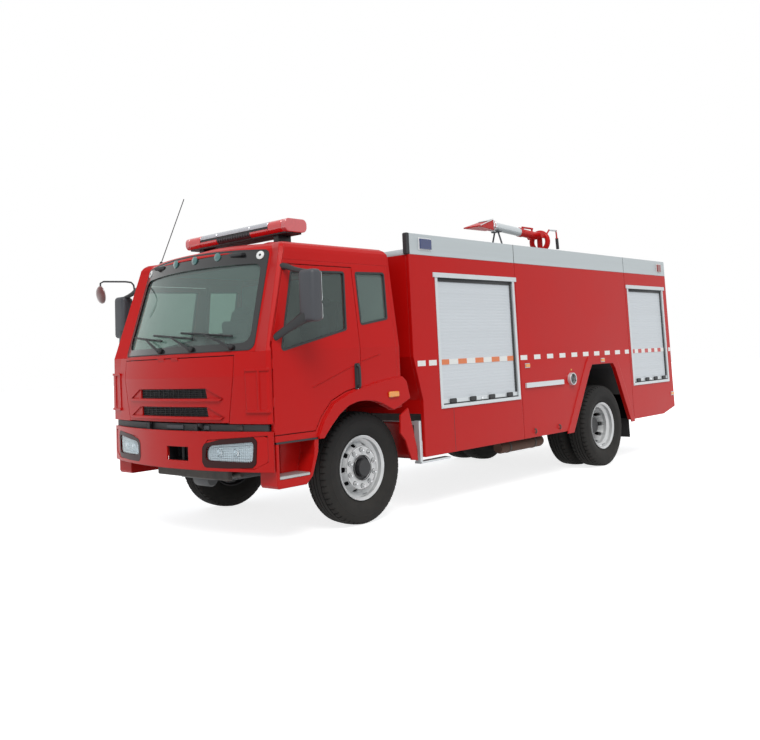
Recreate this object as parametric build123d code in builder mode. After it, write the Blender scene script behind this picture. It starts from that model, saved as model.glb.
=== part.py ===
from build123d import *
import math
import os

# Fire rescue truck: tilting cab, equipment body with roller shutters, roof monitor.
# Millimetres. The front faces -Y, +X is the truck's left, +Z is up, the ground is Z = 0.
# Side profiles are given as (distance behind the front axle, height above the ground).

# Overall sizes
overall_length = 8180
wheelbase = 4500
front_overhang = 1430
body_half_width = 1250
cab_half_width = 1240
seat_gap = 0.3
move_gap = 7

front_axle_y = front_overhang - overall_length / 2
rear_axle_y = front_axle_y + wheelbase

# Wheels
tyre_radius = 527
tyre_width = 278
tyre_tread_width = 216
rim_bead_radius = 286
rim_flange_radius = 301
rim_width = 222
front_wheel_x = 985
kingpin_x = 850
dual_spacing = 330
rear_outer_x = 1090
hub_face_x = 70
front_disc_face = 96
hand_hole_circle = 216
hand_hole_count = 10
wheel_nut_count = 10
nut_circle = 335

# Chassis
rail_height = 250
rail_top = 955
rail_outer_x = 430
rail_flange = 75
rail_wall = 9
rail_front = -1180
rail_rear = 6480
rail_bottom = rail_top - rail_height
cab_rest_z = 1215
axle_z = tyre_radius

# Cab: stations of the plan outline
cab_nose = -1380
cab_bow = 170
cab_bow_half = 1030
cab_rear = 440
cab_wall = 45
cab_sill = 885
cab_front_bottom = 1042
cab_belt = 1655
screen_slope = 0.30
side_slope = 0.109
roof_edge_radius = 95
gutter_z = 2455
eave_z = 2538

# Body
body_front = 640
body_rear = 6650
body_wall = 40
body_bottom = 545
body_floor_top = 1000
floor_thickness = 30
band_bottom = 2580
band_top = 2800
deck_top = 2640
deck_thickness = 25
seam_front = 2547
seam_rear = 5308
sill_z = 1000
header_bottom = 2360
header_height = 50
shutter_frame_width = 42

os.makedirs("parts", exist_ok=True)


def fore(distance):
    """Y of a point that lies this far behind the front axle."""
    return front_axle_y + distance


def side(points):
    """Side profile points, from distances behind the front axle."""
    return [(fore(distance), height) for distance, height in points]


def finish(node, name):
    """Label a finished piece and write it."""
    node.part.label = name
    export_step(node.part, f"parts/{name}.step")


def side_plate(points, x, thickness):
    """Plate with a side profile, from the plane x outwards along +X."""
    with BuildPart(mode=Mode.PRIVATE) as plate:
        with BuildSketch(Plane.YZ.offset(x)):
            with BuildLine():
                Polyline(*side(points), close=True)
            make_face()
        extrude(amount=thickness)
    return plate.part


def block(x_range, y_range, z_range):
    """Box between two corners, with Y as distances behind the front axle."""
    with BuildPart(mode=Mode.PRIVATE) as solid:
        with BuildSketch(Plane.XY.offset(z_range[0])):
            with Locations(((x_range[0] + x_range[1]) / 2, fore((y_range[0] + y_range[1]) / 2))):
                Rectangle(x_range[1] - x_range[0], y_range[1] - y_range[0])
        extrude(amount=z_range[1] - z_range[0])
    return solid.part


def rod(start, end, radius):
    """Round bar between two points given as (x, distance behind the front axle, z)."""
    first = Vector(start[0], fore(start[1]), start[2])
    last = Vector(end[0], fore(end[1]), end[2])
    with BuildPart(mode=Mode.PRIVATE) as bar:
        with BuildSketch(Plane(origin=first, z_dir=last - first)):
            Circle(radius)
        extrude(amount=(last - first).length)
    return bar.part


def both_sides(shape):
    """A shape and its mirror image."""
    return [shape, mirror(shape, about=Plane.YZ, mode=Mode.PRIVATE)]


# Running gear

def tyre_profile():
    """Half section of a tyre as (half width, radius) corners from bead to crown."""
    half = tyre_width / 2
    bead = rim_width / 2 - 18
    return [
        (-bead, rim_bead_radius), (-bead - 2, rim_flange_radius + 5), (-half + 6, 372), (-half, 410),
        (-half + 4, 450), (-tyre_tread_width / 2 - 6, 500), (-tyre_tread_width / 2 + 8, tyre_radius - 8),
        (-tyre_tread_width / 4, tyre_radius - 1), (0, tyre_radius),
    ]


def make_tyre(x, y):
    """Tyre of revolution about the axle line, wall side to wall side."""
    half = tyre_profile()
    whole = half + [(-w, r) for w, r in reversed(half[:-1])]
    with BuildPart(mode=Mode.PRIVATE) as tyre:
        with BuildSketch(Plane.XZ.offset(-fore(y))):
            with BuildLine():
                Polyline(*[(x + w, axle_z + r) for w, r in whole], close=True)
            make_face()
        revolve(axis=Axis((x, fore(y), axle_z), (1, 0, 0)))
    return tyre.part


def rim_section():
    """Closed section of a rim with flanges, bead seats and drop well, as (across, radius)."""
    half = rim_width / 2
    bead = rim_bead_radius - seat_gap
    return [
        (-half, rim_flange_radius), (-half + 10, rim_flange_radius), (-half + 14, bead), (-half + 60, bead),
        (-half + 80, bead - 38), (half - 80, bead - 38), (half - 60, bead), (half - 14, bead),
        (half - 10, rim_flange_radius), (half, rim_flange_radius), (half, rim_flange_radius - 6),
        (half - 14, bead - 12), (half - 56, bead - 12), (half - 78, bead - 50), (-half + 78, bead - 50),
        (-half + 56, bead - 12), (-half + 14, bead - 12), (-half, rim_flange_radius - 6),
    ]


def make_front_wheel():
    """Front disc wheel: the disc bulges outboard, with hand holes on its cone and a ring of nuts."""
    x = front_wheel_x
    well = rim_bead_radius - seat_gap - 49
    face = front_disc_face
    disc = [(14, well), (32, well), (face, 205), (face, 108), (face - 14, 108), (face - 14, 197)]
    with BuildPart(mode=Mode.PRIVATE) as rim:
        with BuildSketch(Plane.XZ.offset(-fore(0))):
            for outline in (rim_section(), disc):
                with BuildLine():
                    Polyline(*[(x + w, axle_z + r) for w, r in outline], close=True)
                make_face()
        revolve(axis=Axis((x, fore(0), axle_z), (1, 0, 0)))
        with BuildSketch(Plane.YZ.offset(x)):
            with Locations((fore(0), axle_z)):
                with PolarLocations(hand_hole_circle, hand_hole_count):
                    SlotOverall(50, 28, rotation=90)
        extrude(amount=face + 20, mode=Mode.SUBTRACT)
        with BuildSketch(Plane.YZ.offset(x + face)):
            with Locations((fore(0), axle_z)):
                with PolarLocations(nut_circle / 2, wheel_nut_count, start_angle=18):
                    RegularPolygon(16, 6)
        extrude(amount=26)
        with BuildSketch(Plane.YZ.offset(x - hub_face_x)):
            with Locations((fore(0), axle_z)):
                Circle(112)
        extrude(amount=hub_face_x + face - 2)
        with BuildSketch(Plane.YZ.offset(x + face - 2)):
            with Locations((fore(0), axle_z)):
                Circle(86)
        extrude(amount=45, taper=8)
    return rim.part


rear_inner_x = rear_outer_x - dual_spacing

with BuildPart() as front_tyre_left:
    add(make_tyre(front_wheel_x, 0))
with BuildPart() as front_tyre_right:
    mirror(front_tyre_left.part, about=Plane.YZ)
with BuildPart() as front_wheel_left:
    add(make_front_wheel())
with BuildPart() as front_wheel_right:
    mirror(front_wheel_left.part, about=Plane.YZ)
with BuildPart() as rear_tyres_left:
    add(make_tyre(rear_outer_x, wheelbase))
    add(make_tyre(rear_inner_x, wheelbase))
with BuildPart() as rear_tyres_right:
    mirror(rear_tyres_left.part, about=Plane.YZ)


def make_rear_rims():
    """Twin rims bolted face to face on one hub."""
    bead = rim_bead_radius - seat_gap
    face = (rear_outer_x + rear_inner_x) / 2
    with BuildPart(mode=Mode.PRIVATE) as pair:
        for centre, toward in ((rear_outer_x, -1), (rear_inner_x, 1)):
            reach = abs(face - centre)
            disc = [
                (toward * 20, bead - 49), (toward * 6, bead - 49), (toward * (reach - 14), 190),
                (toward * (reach - 14), 100), (toward * reach, 100), (toward * reach, 196),
            ]
            with BuildSketch(Plane.XZ.offset(-fore(wheelbase))):
                with BuildLine():
                    Polyline(*[(centre + w, axle_z + r) for w, r in rim_section()], close=True)
                make_face()
                with BuildLine():
                    Polyline(*[(centre + w, axle_z + r) for w, r in disc], close=True)
                make_face()
            revolve(axis=Axis((centre, fore(wheelbase), axle_z), (1, 0, 0)))
        with BuildSketch(Plane.YZ.offset(rear_inner_x - 100)):
            with Locations((fore(wheelbase), axle_z)):
                with PolarLocations(220, hand_hole_count):
                    SlotOverall(54, 34, rotation=90)
        extrude(amount=dual_spacing + 200, mode=Mode.SUBTRACT)
        with BuildSketch(Plane.YZ.offset(face + 14)):
            with Locations((fore(wheelbase), axle_z)):
                with PolarLocations(nut_circle / 2, wheel_nut_count, start_angle=18):
                    RegularPolygon(16, 6)
        extrude(amount=28)
        with BuildSketch(Plane.YZ.offset(rear_inner_x - 90)):
            with Locations((fore(wheelbase), axle_z)):
                Circle(120)
        extrude(amount=face + 20 - rear_inner_x + 90)
        with BuildSketch(Plane.YZ.offset(face + 20)):
            with Locations((fore(wheelbase), axle_z)):
                Circle(108)
        extrude(amount=130, taper=4)
    return pair.part


with BuildPart() as rear_wheels_left:
    add(make_rear_rims())
with BuildPart() as rear_wheels_right:
    mirror(rear_wheels_left.part, about=Plane.YZ)

# Steering knuckles: upright on the kingpin, with the stub axle and a steering arm
hub_inner_x = front_wheel_x - hub_face_x
with BuildPart() as knuckle_left:
    add(rod((kingpin_x, 0, axle_z - 130 + seat_gap), (kingpin_x, 0, axle_z + 125 - seat_gap), 42))
    add(rod((kingpin_x, 0, axle_z), (hub_inner_x - seat_gap, 0, axle_z), 60))
    add(block((kingpin_x - 30, kingpin_x + 20), (0, 230), (axle_z - 105, axle_z - 65)))
with BuildPart() as knuckle_right:
    mirror(knuckle_left.part, about=Plane.YZ)

spring_x = 380
spring_half = 38
with BuildPart() as front_axle:
    beam = [(-kingpin_x + 60, 500), (-640, 500), (-520, 400), (520, 400), (640, 500), (kingpin_x - 60, 500)]
    upper = [(x, z + 95) for x, z in reversed(beam)]
    with BuildSketch(Plane.XZ.offset(-fore(55))):
        with BuildLine():
            Polyline(*(beam + upper), close=True)
        make_face()
    extrude(amount=110)
    for x in (-kingpin_x, kingpin_x):
        for z in (axle_z - 190, axle_z + 125):
            add(block((x - 130, x + 70) if x > 0 else (x - 70, x + 130), (-50, 50), (z, z + 60)))
        add(block((x - 130, x - 80) if x > 0 else (x + 80, x + 130), (-50, 50), (axle_z - 190, axle_z + 185)))
    for shape in both_sides(side_plate(
        [(-700, 640), (-80, 485), (80, 485), (700, 640), (700, 668), (0, 560), (-700, 668)], spring_x - spring_half, 2 * spring_half
    )):
        add(shape)
    for shape in both_sides(block((spring_x - 30, spring_x + 30), (-730, -670), (630, rail_bottom - seat_gap))):
        add(shape)
    for shape in both_sides(block((spring_x - 30, spring_x + 30), (670, 730), (630, rail_bottom - seat_gap))):
        add(shape)

rear_hub_inner = rear_inner_x - 90 - seat_gap
with BuildPart() as rear_axle:
    add(rod((-rear_hub_inner, wheelbase, axle_z), (rear_hub_inner, wheelbase, axle_z), 75))
    with BuildSketch(Plane.YZ.offset(-130)):
        with Locations((fore(wheelbase), axle_z)):
            Circle(215)
    extrude(amount=260, taper=6)
    add(rod((0, wheelbase - 330, axle_z + 10), (0, wheelbase, axle_z), 95))
    for shape in both_sides(side_plate(
        [(3750, 650), (wheelbase, 590), (5250, 650), (5250, 690), (wheelbase, 672), (3750, 690)],
        spring_x + 60, 2 * spring_half
    )):
        add(shape)
    for distance in (3770, 5230):
        for shape in both_sides(block((rail_outer_x + seat_gap, spring_x + 136), (distance - 30, distance + 30), (650, 800))):
            add(shape)

with BuildPart() as chassis_frame:
    for sign in (-1, 1):
        outer = sign * rail_outer_x
        inner = sign * (rail_outer_x - rail_flange)
        wall = sign * (rail_outer_x - rail_wall)
        with BuildSketch(Plane.XZ.offset(-fore(rail_front))):
            with BuildLine():
                Polyline(
                    (outer, rail_bottom), (outer, rail_top), (inner, rail_top), (inner, rail_top - rail_wall),
                    (wall, rail_top - rail_wall), (wall, rail_bottom + rail_wall),
                    (inner, rail_bottom + rail_wall), (inner, rail_bottom), close=True,
                )
            make_face()
        extrude(amount=-(rail_rear - rail_front))
    for distance in (-1140, 1300, 2100, 2900, 4000, 5300, 6400):
        add(block((-rail_outer_x + 5, rail_outer_x - 5), (distance - 35, distance + 35), (rail_bottom + 60, rail_top - 60)))
    for shape in both_sides(
        block((rail_outer_x - 60, 530), (320, 380), (rail_top - 5, rail_top + 20))
        + block((460, 530), (320, 380), (rail_top, cab_rest_z - seat_gap))
    ):
        add(shape)

with BuildPart() as engine_block:
    add(block((-300, 300), (-760, 330), (620, 1330)))
    add(block((-210, 210), (330, 1120), (560, 900)))
    for distance in (-560, 900):
        reach = rail_outer_x - rail_wall - seat_gap
        add(block((-reach, reach), (distance - 50, distance + 50), (rail_bottom + rail_wall + seat_gap, 770)))

with BuildPart() as propeller_shaft:
    add(rod((0, 1123, 700), (0, wheelbase - 333, axle_z + 22), 55))

with BuildPart() as fuel_tank:
    add(block((-1150, -rail_outer_x - seat_gap), (1500, 2400), (500, 930)))
    fillet(fuel_tank.edges().filter_by(Axis.Y), 60)

# Cab pivots: lugs on the bumper's arms carry pins that stand out of the cab floor's arms
pivot_y = -1360
pivot_z = 1030
pivot_pin = 8
lug_inner_x = 362
lug_outer_x = 400
pivot_lug = [
    (-1376, 900), (-1376, 1036), (-1366, 1043), (-1350, 1043), (-1328, 1010), (-1328, 975), (-1250, 940), (-1250, 900),
]
pivot_arm = [
    (-1374, 1020), (-1374, 1038), (-1345, 1043), (-1300, 1005), (-1150, 1005), (-1150, 984), (-1330, 984),
]

# Front bumper: curved channel, open behind, with the headlamp openings and an offset towing eye opening
bumper_nose = -1430
bumper_end = -1216
bumper_bottom = 640
bumper_top = 978
bumper_back = -1204
bumper_skin = 14
lamp_bottom = 665
lamp_top = 945
lamp_inner_x = 500
lamp_outer_x = 1190


def bumper_solid(inset, low, high, back):
    """Plan outline with a bowed front, extruded between two heights."""
    half = cab_half_width - inset
    with BuildPart(mode=Mode.PRIVATE) as solid:
        with BuildSketch(Plane.XY.offset(low)):
            with BuildLine():
                front = ThreePointArc(
                    (-half, fore(bumper_end + inset)), (0, fore(bumper_nose + inset)), (half, fore(bumper_end + inset))
                )
                Polyline(front @ 1, (half, fore(back)), (-half, fore(back)), front @ 0)
            make_face()
        extrude(amount=high - low)
    return solid.part


bumper_full = bumper_solid(0, bumper_bottom, bumper_top, bumper_back)
bumper_core = bumper_solid(bumper_skin, bumper_bottom + bumper_skin, bumper_top - bumper_skin, bumper_back + 50)


def lamp_outline(inset):
    """Front outline of the left headlamp bezel as (x, z)."""
    return [
        (lamp_inner_x + 20 + inset, lamp_bottom + 20 + inset), (lamp_outer_x - 130 - inset, lamp_bottom + inset),
        (lamp_outer_x - inset, lamp_bottom + 60 + inset), (lamp_outer_x - inset, lamp_top - inset),
        (lamp_inner_x + 60 + inset, lamp_top - 40 - inset), (lamp_inner_x + inset, lamp_top - 110 - inset),
    ]


def lamp_prism(inset, near, far):
    """Prism of the headlamp outline between two distances, before the bumper is cut."""
    with BuildPart(mode=Mode.PRIVATE) as prism:
        with BuildSketch(Plane.XZ.offset(-fore(near))):
            with BuildLine():
                Polyline(*lamp_outline(inset), close=True)
            make_face()
        extrude(amount=near - far)
    return prism.part


tow_x = (0, 310)
tow_z = (715, 838)
tow_depth = -1300
tow_wall = 5
tow_hole = block(tow_x, (-1500, tow_depth), tow_z)
tow_pocket = block(
    (tow_x[0] - tow_wall, tow_x[1] + tow_wall), (-1410, tow_depth + tow_wall), (tow_z[0] - tow_wall, tow_z[1] + tow_wall)
)
lamp_cut = lamp_prism(0, -1190, -1500)
with BuildPart() as front_bumper:
    add(bumper_full)
    add(bumper_core, mode=Mode.SUBTRACT)
    for shape in both_sides(lamp_cut):
        add(shape, mode=Mode.SUBTRACT)
    add(tow_pocket)
    add(tow_hole, mode=Mode.SUBTRACT)
    add(rod((155, -1350, tow_z[0] - tow_wall), (155, -1350, tow_z[1] + tow_wall), 18))
    for shape in both_sides(block((rail_outer_x - 70, rail_outer_x), (-1402, rail_front - seat_gap), (rail_bottom + 20, rail_top - 20))):
        add(shape)
    for shape in both_sides(side_plate(pivot_lug, lug_inner_x, lug_outer_x - lug_inner_x)):
        add(shape)
    pin_reach = rail_outer_x + 5
    add(rod((-pin_reach, pivot_y, pivot_z), (pin_reach, pivot_y, pivot_z), pivot_pin + seat_gap), mode=Mode.SUBTRACT)

lamp_shell = lamp_prism(seat_gap, -1200, -1500)
lamp_hollow = lamp_prism(28, -1222, -1500)
lamp_front = bumper_solid(4, bumper_bottom, bumper_top, rail_front)
lens_front = bumper_solid(12, bumper_bottom, bumper_top, rail_front)
lens_back = bumper_solid(18, bumper_bottom, bumper_top, rail_front)
with BuildPart() as headlamps:
    add(lamp_shell)
    add(lamp_front, mode=Mode.INTERSECT)
    add(lamp_hollow, mode=Mode.SUBTRACT)
    mirror(about=Plane.YZ)
with BuildPart() as headlamp_lenses:
    add(lamp_prism(28 + seat_gap, -1222 - seat_gap, -1500))
    add(lens_front - lens_back, mode=Mode.INTERSECT)
    mirror(about=Plane.YZ)

# Entry steps under the doors, and the rear halves of the front mudguards
step_outer = 1236
step_inner = 1020
step_skin = 30
step_profile = [(-1180, 520), (-1165, 498), (-850, 498), (-775, 560), (-700, 760), (-690, 868), (-1180, 868)]
step_well = [(-1150, 570), (-800, 570), (-745, 745), (-738, 900), (-1150, 900)]
with BuildPart() as entry_steps:
    add(side_plate(step_profile, step_inner, step_outer - step_inner))
    add(side_plate(step_well, step_inner + step_skin, 400), mode=Mode.SUBTRACT)
    add(block((rail_outer_x + seat_gap, step_inner + 5), (-1100, -1020), (740, 800)))
    mirror(about=Plane.YZ)

guard_radius = 640
guard_skin = 8
guard_outer = 1242
guard_flange = 20
with BuildPart() as front_mudguards:
    with BuildSketch(Plane.YZ.offset(720)):
        with Locations((fore(0), axle_z)):
            Circle(guard_radius + guard_skin)
            Circle(guard_radius, mode=Mode.SUBTRACT)
    extrude(amount=guard_outer - 720)
    add(side_plate([(440, 540), (640, 540), (640, 800), (455, 960), (380, 900)], 700, 600), mode=Mode.INTERSECT)
    add(side_plate(
        [(402, 812), (412, 985), (530, 1050), (600, 800), (645, 528), (552, 540), (470, 740)],
        guard_outer - guard_flange, guard_flange
    ))
    add(block((rail_outer_x + seat_gap, 722), (600, 650), (700, 760)))
    mirror(about=Plane.YZ)

# Cab shell: two ruled lofts of plan stations, a crowned roof and rounded roof edges

def cab_station(row, inset, across=0, along=0):
    """Closed plan outline of one station: (z, half width, side front, pillar x, pillar y, screen x, screen y, nose)."""
    z, half, side_front, pillar_x, pillar_y, screen_x, screen_y, nose = row
    half, pillar_x, screen_x = half - across, pillar_x - across, screen_x - across
    side_front, pillar_y, screen_y, nose = side_front + along, pillar_y + along, screen_y + along, nose + along
    rear = fore(cab_rear - inset - along)
    with BuildSketch(Plane.XY.offset(z), mode=Mode.PRIVATE) as station:
        with BuildLine():
            bow = ThreePointArc(
                (-screen_x + inset, fore(screen_y + inset)), (0, fore(nose + inset)), (screen_x - inset, fore(screen_y + inset))
            )
            Polyline(
                bow @ 1, (pillar_x - inset, fore(pillar_y + inset)), (half - inset, fore(side_front + inset)),
                (half - inset, rear), (inset - half, rear), (inset - half, fore(side_front + inset)),
                (inset - pillar_x, fore(pillar_y + inset)), bow @ 0,
            )
        make_face()
    return station.sketch


def upper_row(z):
    """Station of the screen and side windows: both lean back and inwards with height."""
    rise = z - cab_belt
    back = screen_slope * rise
    narrow = side_slope * rise
    return (
        z, cab_half_width - narrow, -1212 + back, 1212 - narrow, -1240 + back, 1030 - 0.045 * rise, -1210 + back,
        cab_nose + back,
    )


lower_rows = [
    (cab_sill, cab_half_width, -1210, 1212, -1240, 1030, -1275, -1362),
    (1450, cab_half_width, -1210, 1212, -1240, 1030, -1288, -1414),
    (cab_belt, cab_half_width, -1210, 1212, -1240, 1030, -1268, -1398),
]


# Roof stations above the eave: (move in across, move in along, height above the eave)
roof_rows = [
    (roof_edge_radius * (1 - math.cos(math.radians(angle))), roof_edge_radius * (1 - math.cos(math.radians(angle))),
     roof_edge_radius * math.sin(math.radians(angle)))
    for angle in (0, 22, 45, 68)
]
roof_rows += [(135, 120, 97), (480, 300, 152), (900, 480, 172)]


def cab_hull(inset, bottom_drop):
    """Solid of the cab's outside, moved in by the inset and carried lower by the bottom drop."""
    first, middle, last = lower_rows
    lowest = (first[0] - bottom_drop,) + first[1:]
    bands = [
        [cab_station(lowest, inset), cab_station(middle, inset)],
        [cab_station(middle, inset), cab_station(last, inset)],
        [cab_station(upper_row(cab_belt), inset), cab_station(upper_row(eave_z), inset)],
    ]
    eave = upper_row(eave_z)
    roof = [
        cab_station((eave_z - inset * (rise > 0) * min(1, rise / roof_edge_radius) + rise,) + eave[1:], inset, across, along)
        for across, along, rise in roof_rows
    ]
    bands += [[low, high] for low, high in zip(roof, roof[1:])]
    with BuildPart(mode=Mode.PRIVATE) as hull:
        for low, high in bands:
            loft([low, high], ruled=True)
    return hull.part


outer_hull = cab_hull(0, 0)
inner_hull = cab_hull(cab_wall, 60)
shell_body = outer_hull - inner_hull
seat_hull = cab_hull(-seat_gap, 0)

# Openings in the cab, as side profiles
door_edge = [
    (-1198, 938), (-722, 938), (-642, 1062), (-515, 1185), (-330, 1256), (-150, 1290), (-112, 1520),
    (-104, 2420), (-968, 2420), (-1198, 1700),
]
door_window = [(-1095, 1645), (-268, 1825), (-212, 2372), (-885, 2358)]
quarter_window = [(-70, 1868), (318, 1925), (352, 2385), (-62, 2375)]
front_region = [(-1600, cab_front_bottom), (-1205, cab_front_bottom), (-1205, 1700), (-962, 2455), (-915, 2610), (-1600, 2610)]
lower_cut = [
    (-648, 800), (-648, 868), (-548, 968), (-440, 1062), (-320, 1130), (-200, 1158), (-85, 1162), (40, 1148),
    (131, 1122), (300, 1046), (600, 1090), (600, 800),
]
window_corner = 26
screen_x_bottom = 1012
screen_x_top = 962
screen_bottom = 1672
screen_top = 2565
lid_side_x = 868
lid_bottom_x = 790
lid_bend = 1440
lid_top = 1632
lid_bottom = 1042


def side_prism(points, amount, radius, x_low, x_high):
    """Prism of a side profile grown by an amount, with rounded corners, from one x to another."""
    with BuildPart(mode=Mode.PRIVATE) as prism:
        with BuildSketch(Plane.YZ.offset(x_low)) as outline:
            with BuildLine():
                Polyline(*side(points), close=True)
            make_face()
            if radius:
                fillet(outline.vertices(), radius)
            if amount:
                offset(amount=amount, kind=Kind.INTERSECTION)
        extrude(amount=x_high - x_low)
    return prism.part


def front_prism(points, amount, radius, near=-900, far=-1600):
    """Prism of a front outline, mirrored about the middle, between two distances."""
    whole = points + [(-x, z) for x, z in reversed(points)]
    with BuildPart(mode=Mode.PRIVATE) as prism:
        with BuildSketch(Plane.XZ.offset(-fore(near))) as outline:
            with BuildLine():
                Polyline(*whole, close=True)
            make_face()
            if radius:
                fillet(outline.vertices(), radius)
            if amount:
                offset(amount=amount, kind=Kind.INTERSECTION)
        extrude(amount=near - far)
    return prism.part


screen_outline = [(screen_x_bottom, screen_bottom), (screen_x_top, screen_top)]
lid_outline = [(lid_bottom_x, lid_bottom), (lid_side_x, lid_bend), (lid_side_x, lid_top)]

door_cut = side_prism(door_edge, 0, 0, 1000, 1300)
door_body = side_prism(door_edge, -move_gap, 0, 1000, 1300)
window_cut = side_prism(door_window, 0, window_corner, 1000, 1300)
window_pane = side_prism(door_window, -seat_gap, window_corner, 1000, 1300)
quarter_cut = side_prism(quarter_window, 0, window_corner, 1000, 1300)
quarter_pane = side_prism(quarter_window, -seat_gap, window_corner, 1000, 1300)
screen_cut = front_prism(screen_outline, 0, 60)
screen_pane = front_prism(screen_outline, -seat_gap, 60)
lid_cut = front_prism([(lid_bottom_x, lid_bottom - 100)] + lid_outline, 0, 0)
lid_body = front_prism(lid_outline, -move_gap, 0)
pillar_depth = 90


def pillar_zone(clearance):
    """Inner part of the front corner: it stays on the cab when the door opens."""
    half = cab_half_width - cab_wall - move_gap + clearance
    lean = side_slope * (gutter_z + 100 - cab_belt)
    return front_prism([(half, 700), (half, cab_belt), (half - lean, gutter_z + 100)], 0, 0) & side_plate(
        [(d + (pillar_depth + clearance) * (d > -1600), z) for d, z in front_region], -1300, 2600
    )


front_zone = side_plate(front_region, -1300, 2600) + pillar_zone(0)
under_zone = side_plate(lower_cut, -1300, 2600)
roof_zone = block((-1300, 1300), (-1600, 600), (gutter_z, 2800)) - front_zone
rear_zone = block((-1300, 1300), (cab_rear - cab_wall, 600), (800, gutter_z))

# Hinge barrels of the lid and the doors, each on the axis that its panel turns about
lid_hinge_y = -1402
lid_hinge_z = lid_top - move_gap / 2
lid_barrel = 5
door_hinge_x = 1238
door_hinge_y = -1198 + move_gap / 2
door_barrel = 7
lid_hinges = [(-160, -60), (60, 160)]

# Raised work on the front skin: air deflectors at the corners and the lips under the intake slots
panel_lift = 7
lip_lift = 14
panel_layer = cab_hull(-panel_lift, 0) - outer_hull
lip_layer = cab_hull(-lip_lift, 0) - outer_hull
deflector_x = (1000, 1236)
deflector_z = (1137, 1509)
deflector_y = (-1330, -1214)
deflector_ridge = 1128
deflector_edge = 22
door_hinges = [(1180, 1260), (1500, 1580)]

with BuildPart() as cab_front:
    add(shell_body)
    add(front_zone, mode=Mode.INTERSECT)
    add(screen_cut, mode=Mode.SUBTRACT)
    add(lid_cut, mode=Mode.SUBTRACT)
    for low, high in lid_hinges:
        add(rod((low - 3, lid_hinge_y, lid_hinge_z), (high + 3, lid_hinge_y, lid_hinge_z), lid_barrel + seat_gap),
            mode=Mode.SUBTRACT)
    for low, high in door_hinges:
        for shape in both_sides(rod((door_hinge_x, door_hinge_y, low - 3), (door_hinge_x, door_hinge_y, high + 3),
                                    door_barrel + seat_gap)):
            add(shape, mode=Mode.SUBTRACT)
    for shape in both_sides(panel_layer & block(deflector_x, deflector_y, deflector_z)):
        add(shape)
    for x_range, z_range in (
        ((deflector_ridge, deflector_ridge + deflector_edge), deflector_z),
        (deflector_x, (deflector_z[0], deflector_z[0] + deflector_edge)),
        (deflector_x, (deflector_z[1] - deflector_edge, deflector_z[1])),
    ):
        for shape in both_sides(lip_layer & block(x_range, deflector_y, z_range)):
            add(shape)
with BuildPart() as cab_roof:
    add(shell_body)
    add(roof_zone, mode=Mode.INTERSECT)
with BuildPart() as cab_rear_wall:
    add(shell_body)
    add(rear_zone, mode=Mode.INTERSECT)
    add(under_zone, mode=Mode.SUBTRACT)

flare_profile = [
    (-700, 893), (-630, 1019), (-499, 1166), (-322, 1234), (-224, 1264), (119, 1328), (440, 1362), (500, 1310),
    (545, 1145), (300, 1048), (131, 1124), (40, 1150), (-85, 1164), (-200, 1160), (-320, 1132), (-440, 1064),
    (-548, 970), (-646, 870), (-700, 870),
]
flare_proud = 24
with BuildPart() as cab_side_left:
    add(shell_body)
    add(block((0, 1300), (-1190, cab_rear - cab_wall), (800, gutter_z)), mode=Mode.INTERSECT)
    add(front_zone, mode=Mode.SUBTRACT)
    add(door_cut, mode=Mode.SUBTRACT)
    add(quarter_cut, mode=Mode.SUBTRACT)
    add(under_zone, mode=Mode.SUBTRACT)
    add(side_plate(flare_profile, cab_half_width, flare_proud))
with BuildPart() as cab_side_right:
    mirror(cab_side_left.part, about=Plane.YZ)

with BuildPart() as door_left:
    add(shell_body)
    add(door_body, mode=Mode.INTERSECT)
    add(pillar_zone(move_gap), mode=Mode.SUBTRACT)
    add(block(
        (1000, cab_half_width - cab_wall), (-1300, pillar_depth + move_gap - 1205), (cab_sill, cab_front_bottom + 1)
    ), mode=Mode.SUBTRACT)
    add(window_cut, mode=Mode.SUBTRACT)
    for low, high in door_hinges:
        add(rod((door_hinge_x, door_hinge_y, low), (door_hinge_x, door_hinge_y, high), door_barrel))
        add(block((door_hinge_x - 20, door_hinge_x), (door_hinge_y, door_hinge_y + 20), (low, high)))
with BuildPart() as door_right:
    mirror(door_left.part, about=Plane.YZ)

glass_inset = 14
glass_thickness = 6
glass_layer = cab_hull(glass_inset, 0) - cab_hull(glass_inset + glass_thickness, 60)
with BuildPart() as door_glass_left:
    add(glass_layer)
    add(window_pane, mode=Mode.INTERSECT)
with BuildPart() as door_glass_right:
    mirror(door_glass_left.part, about=Plane.YZ)
with BuildPart() as cab_windows:
    add(glass_layer)
    add(screen_pane, mode=Mode.INTERSECT)
    add(front_zone, mode=Mode.INTERSECT)
    for shape in both_sides(glass_layer & quarter_pane):
        add(shape)

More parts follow.
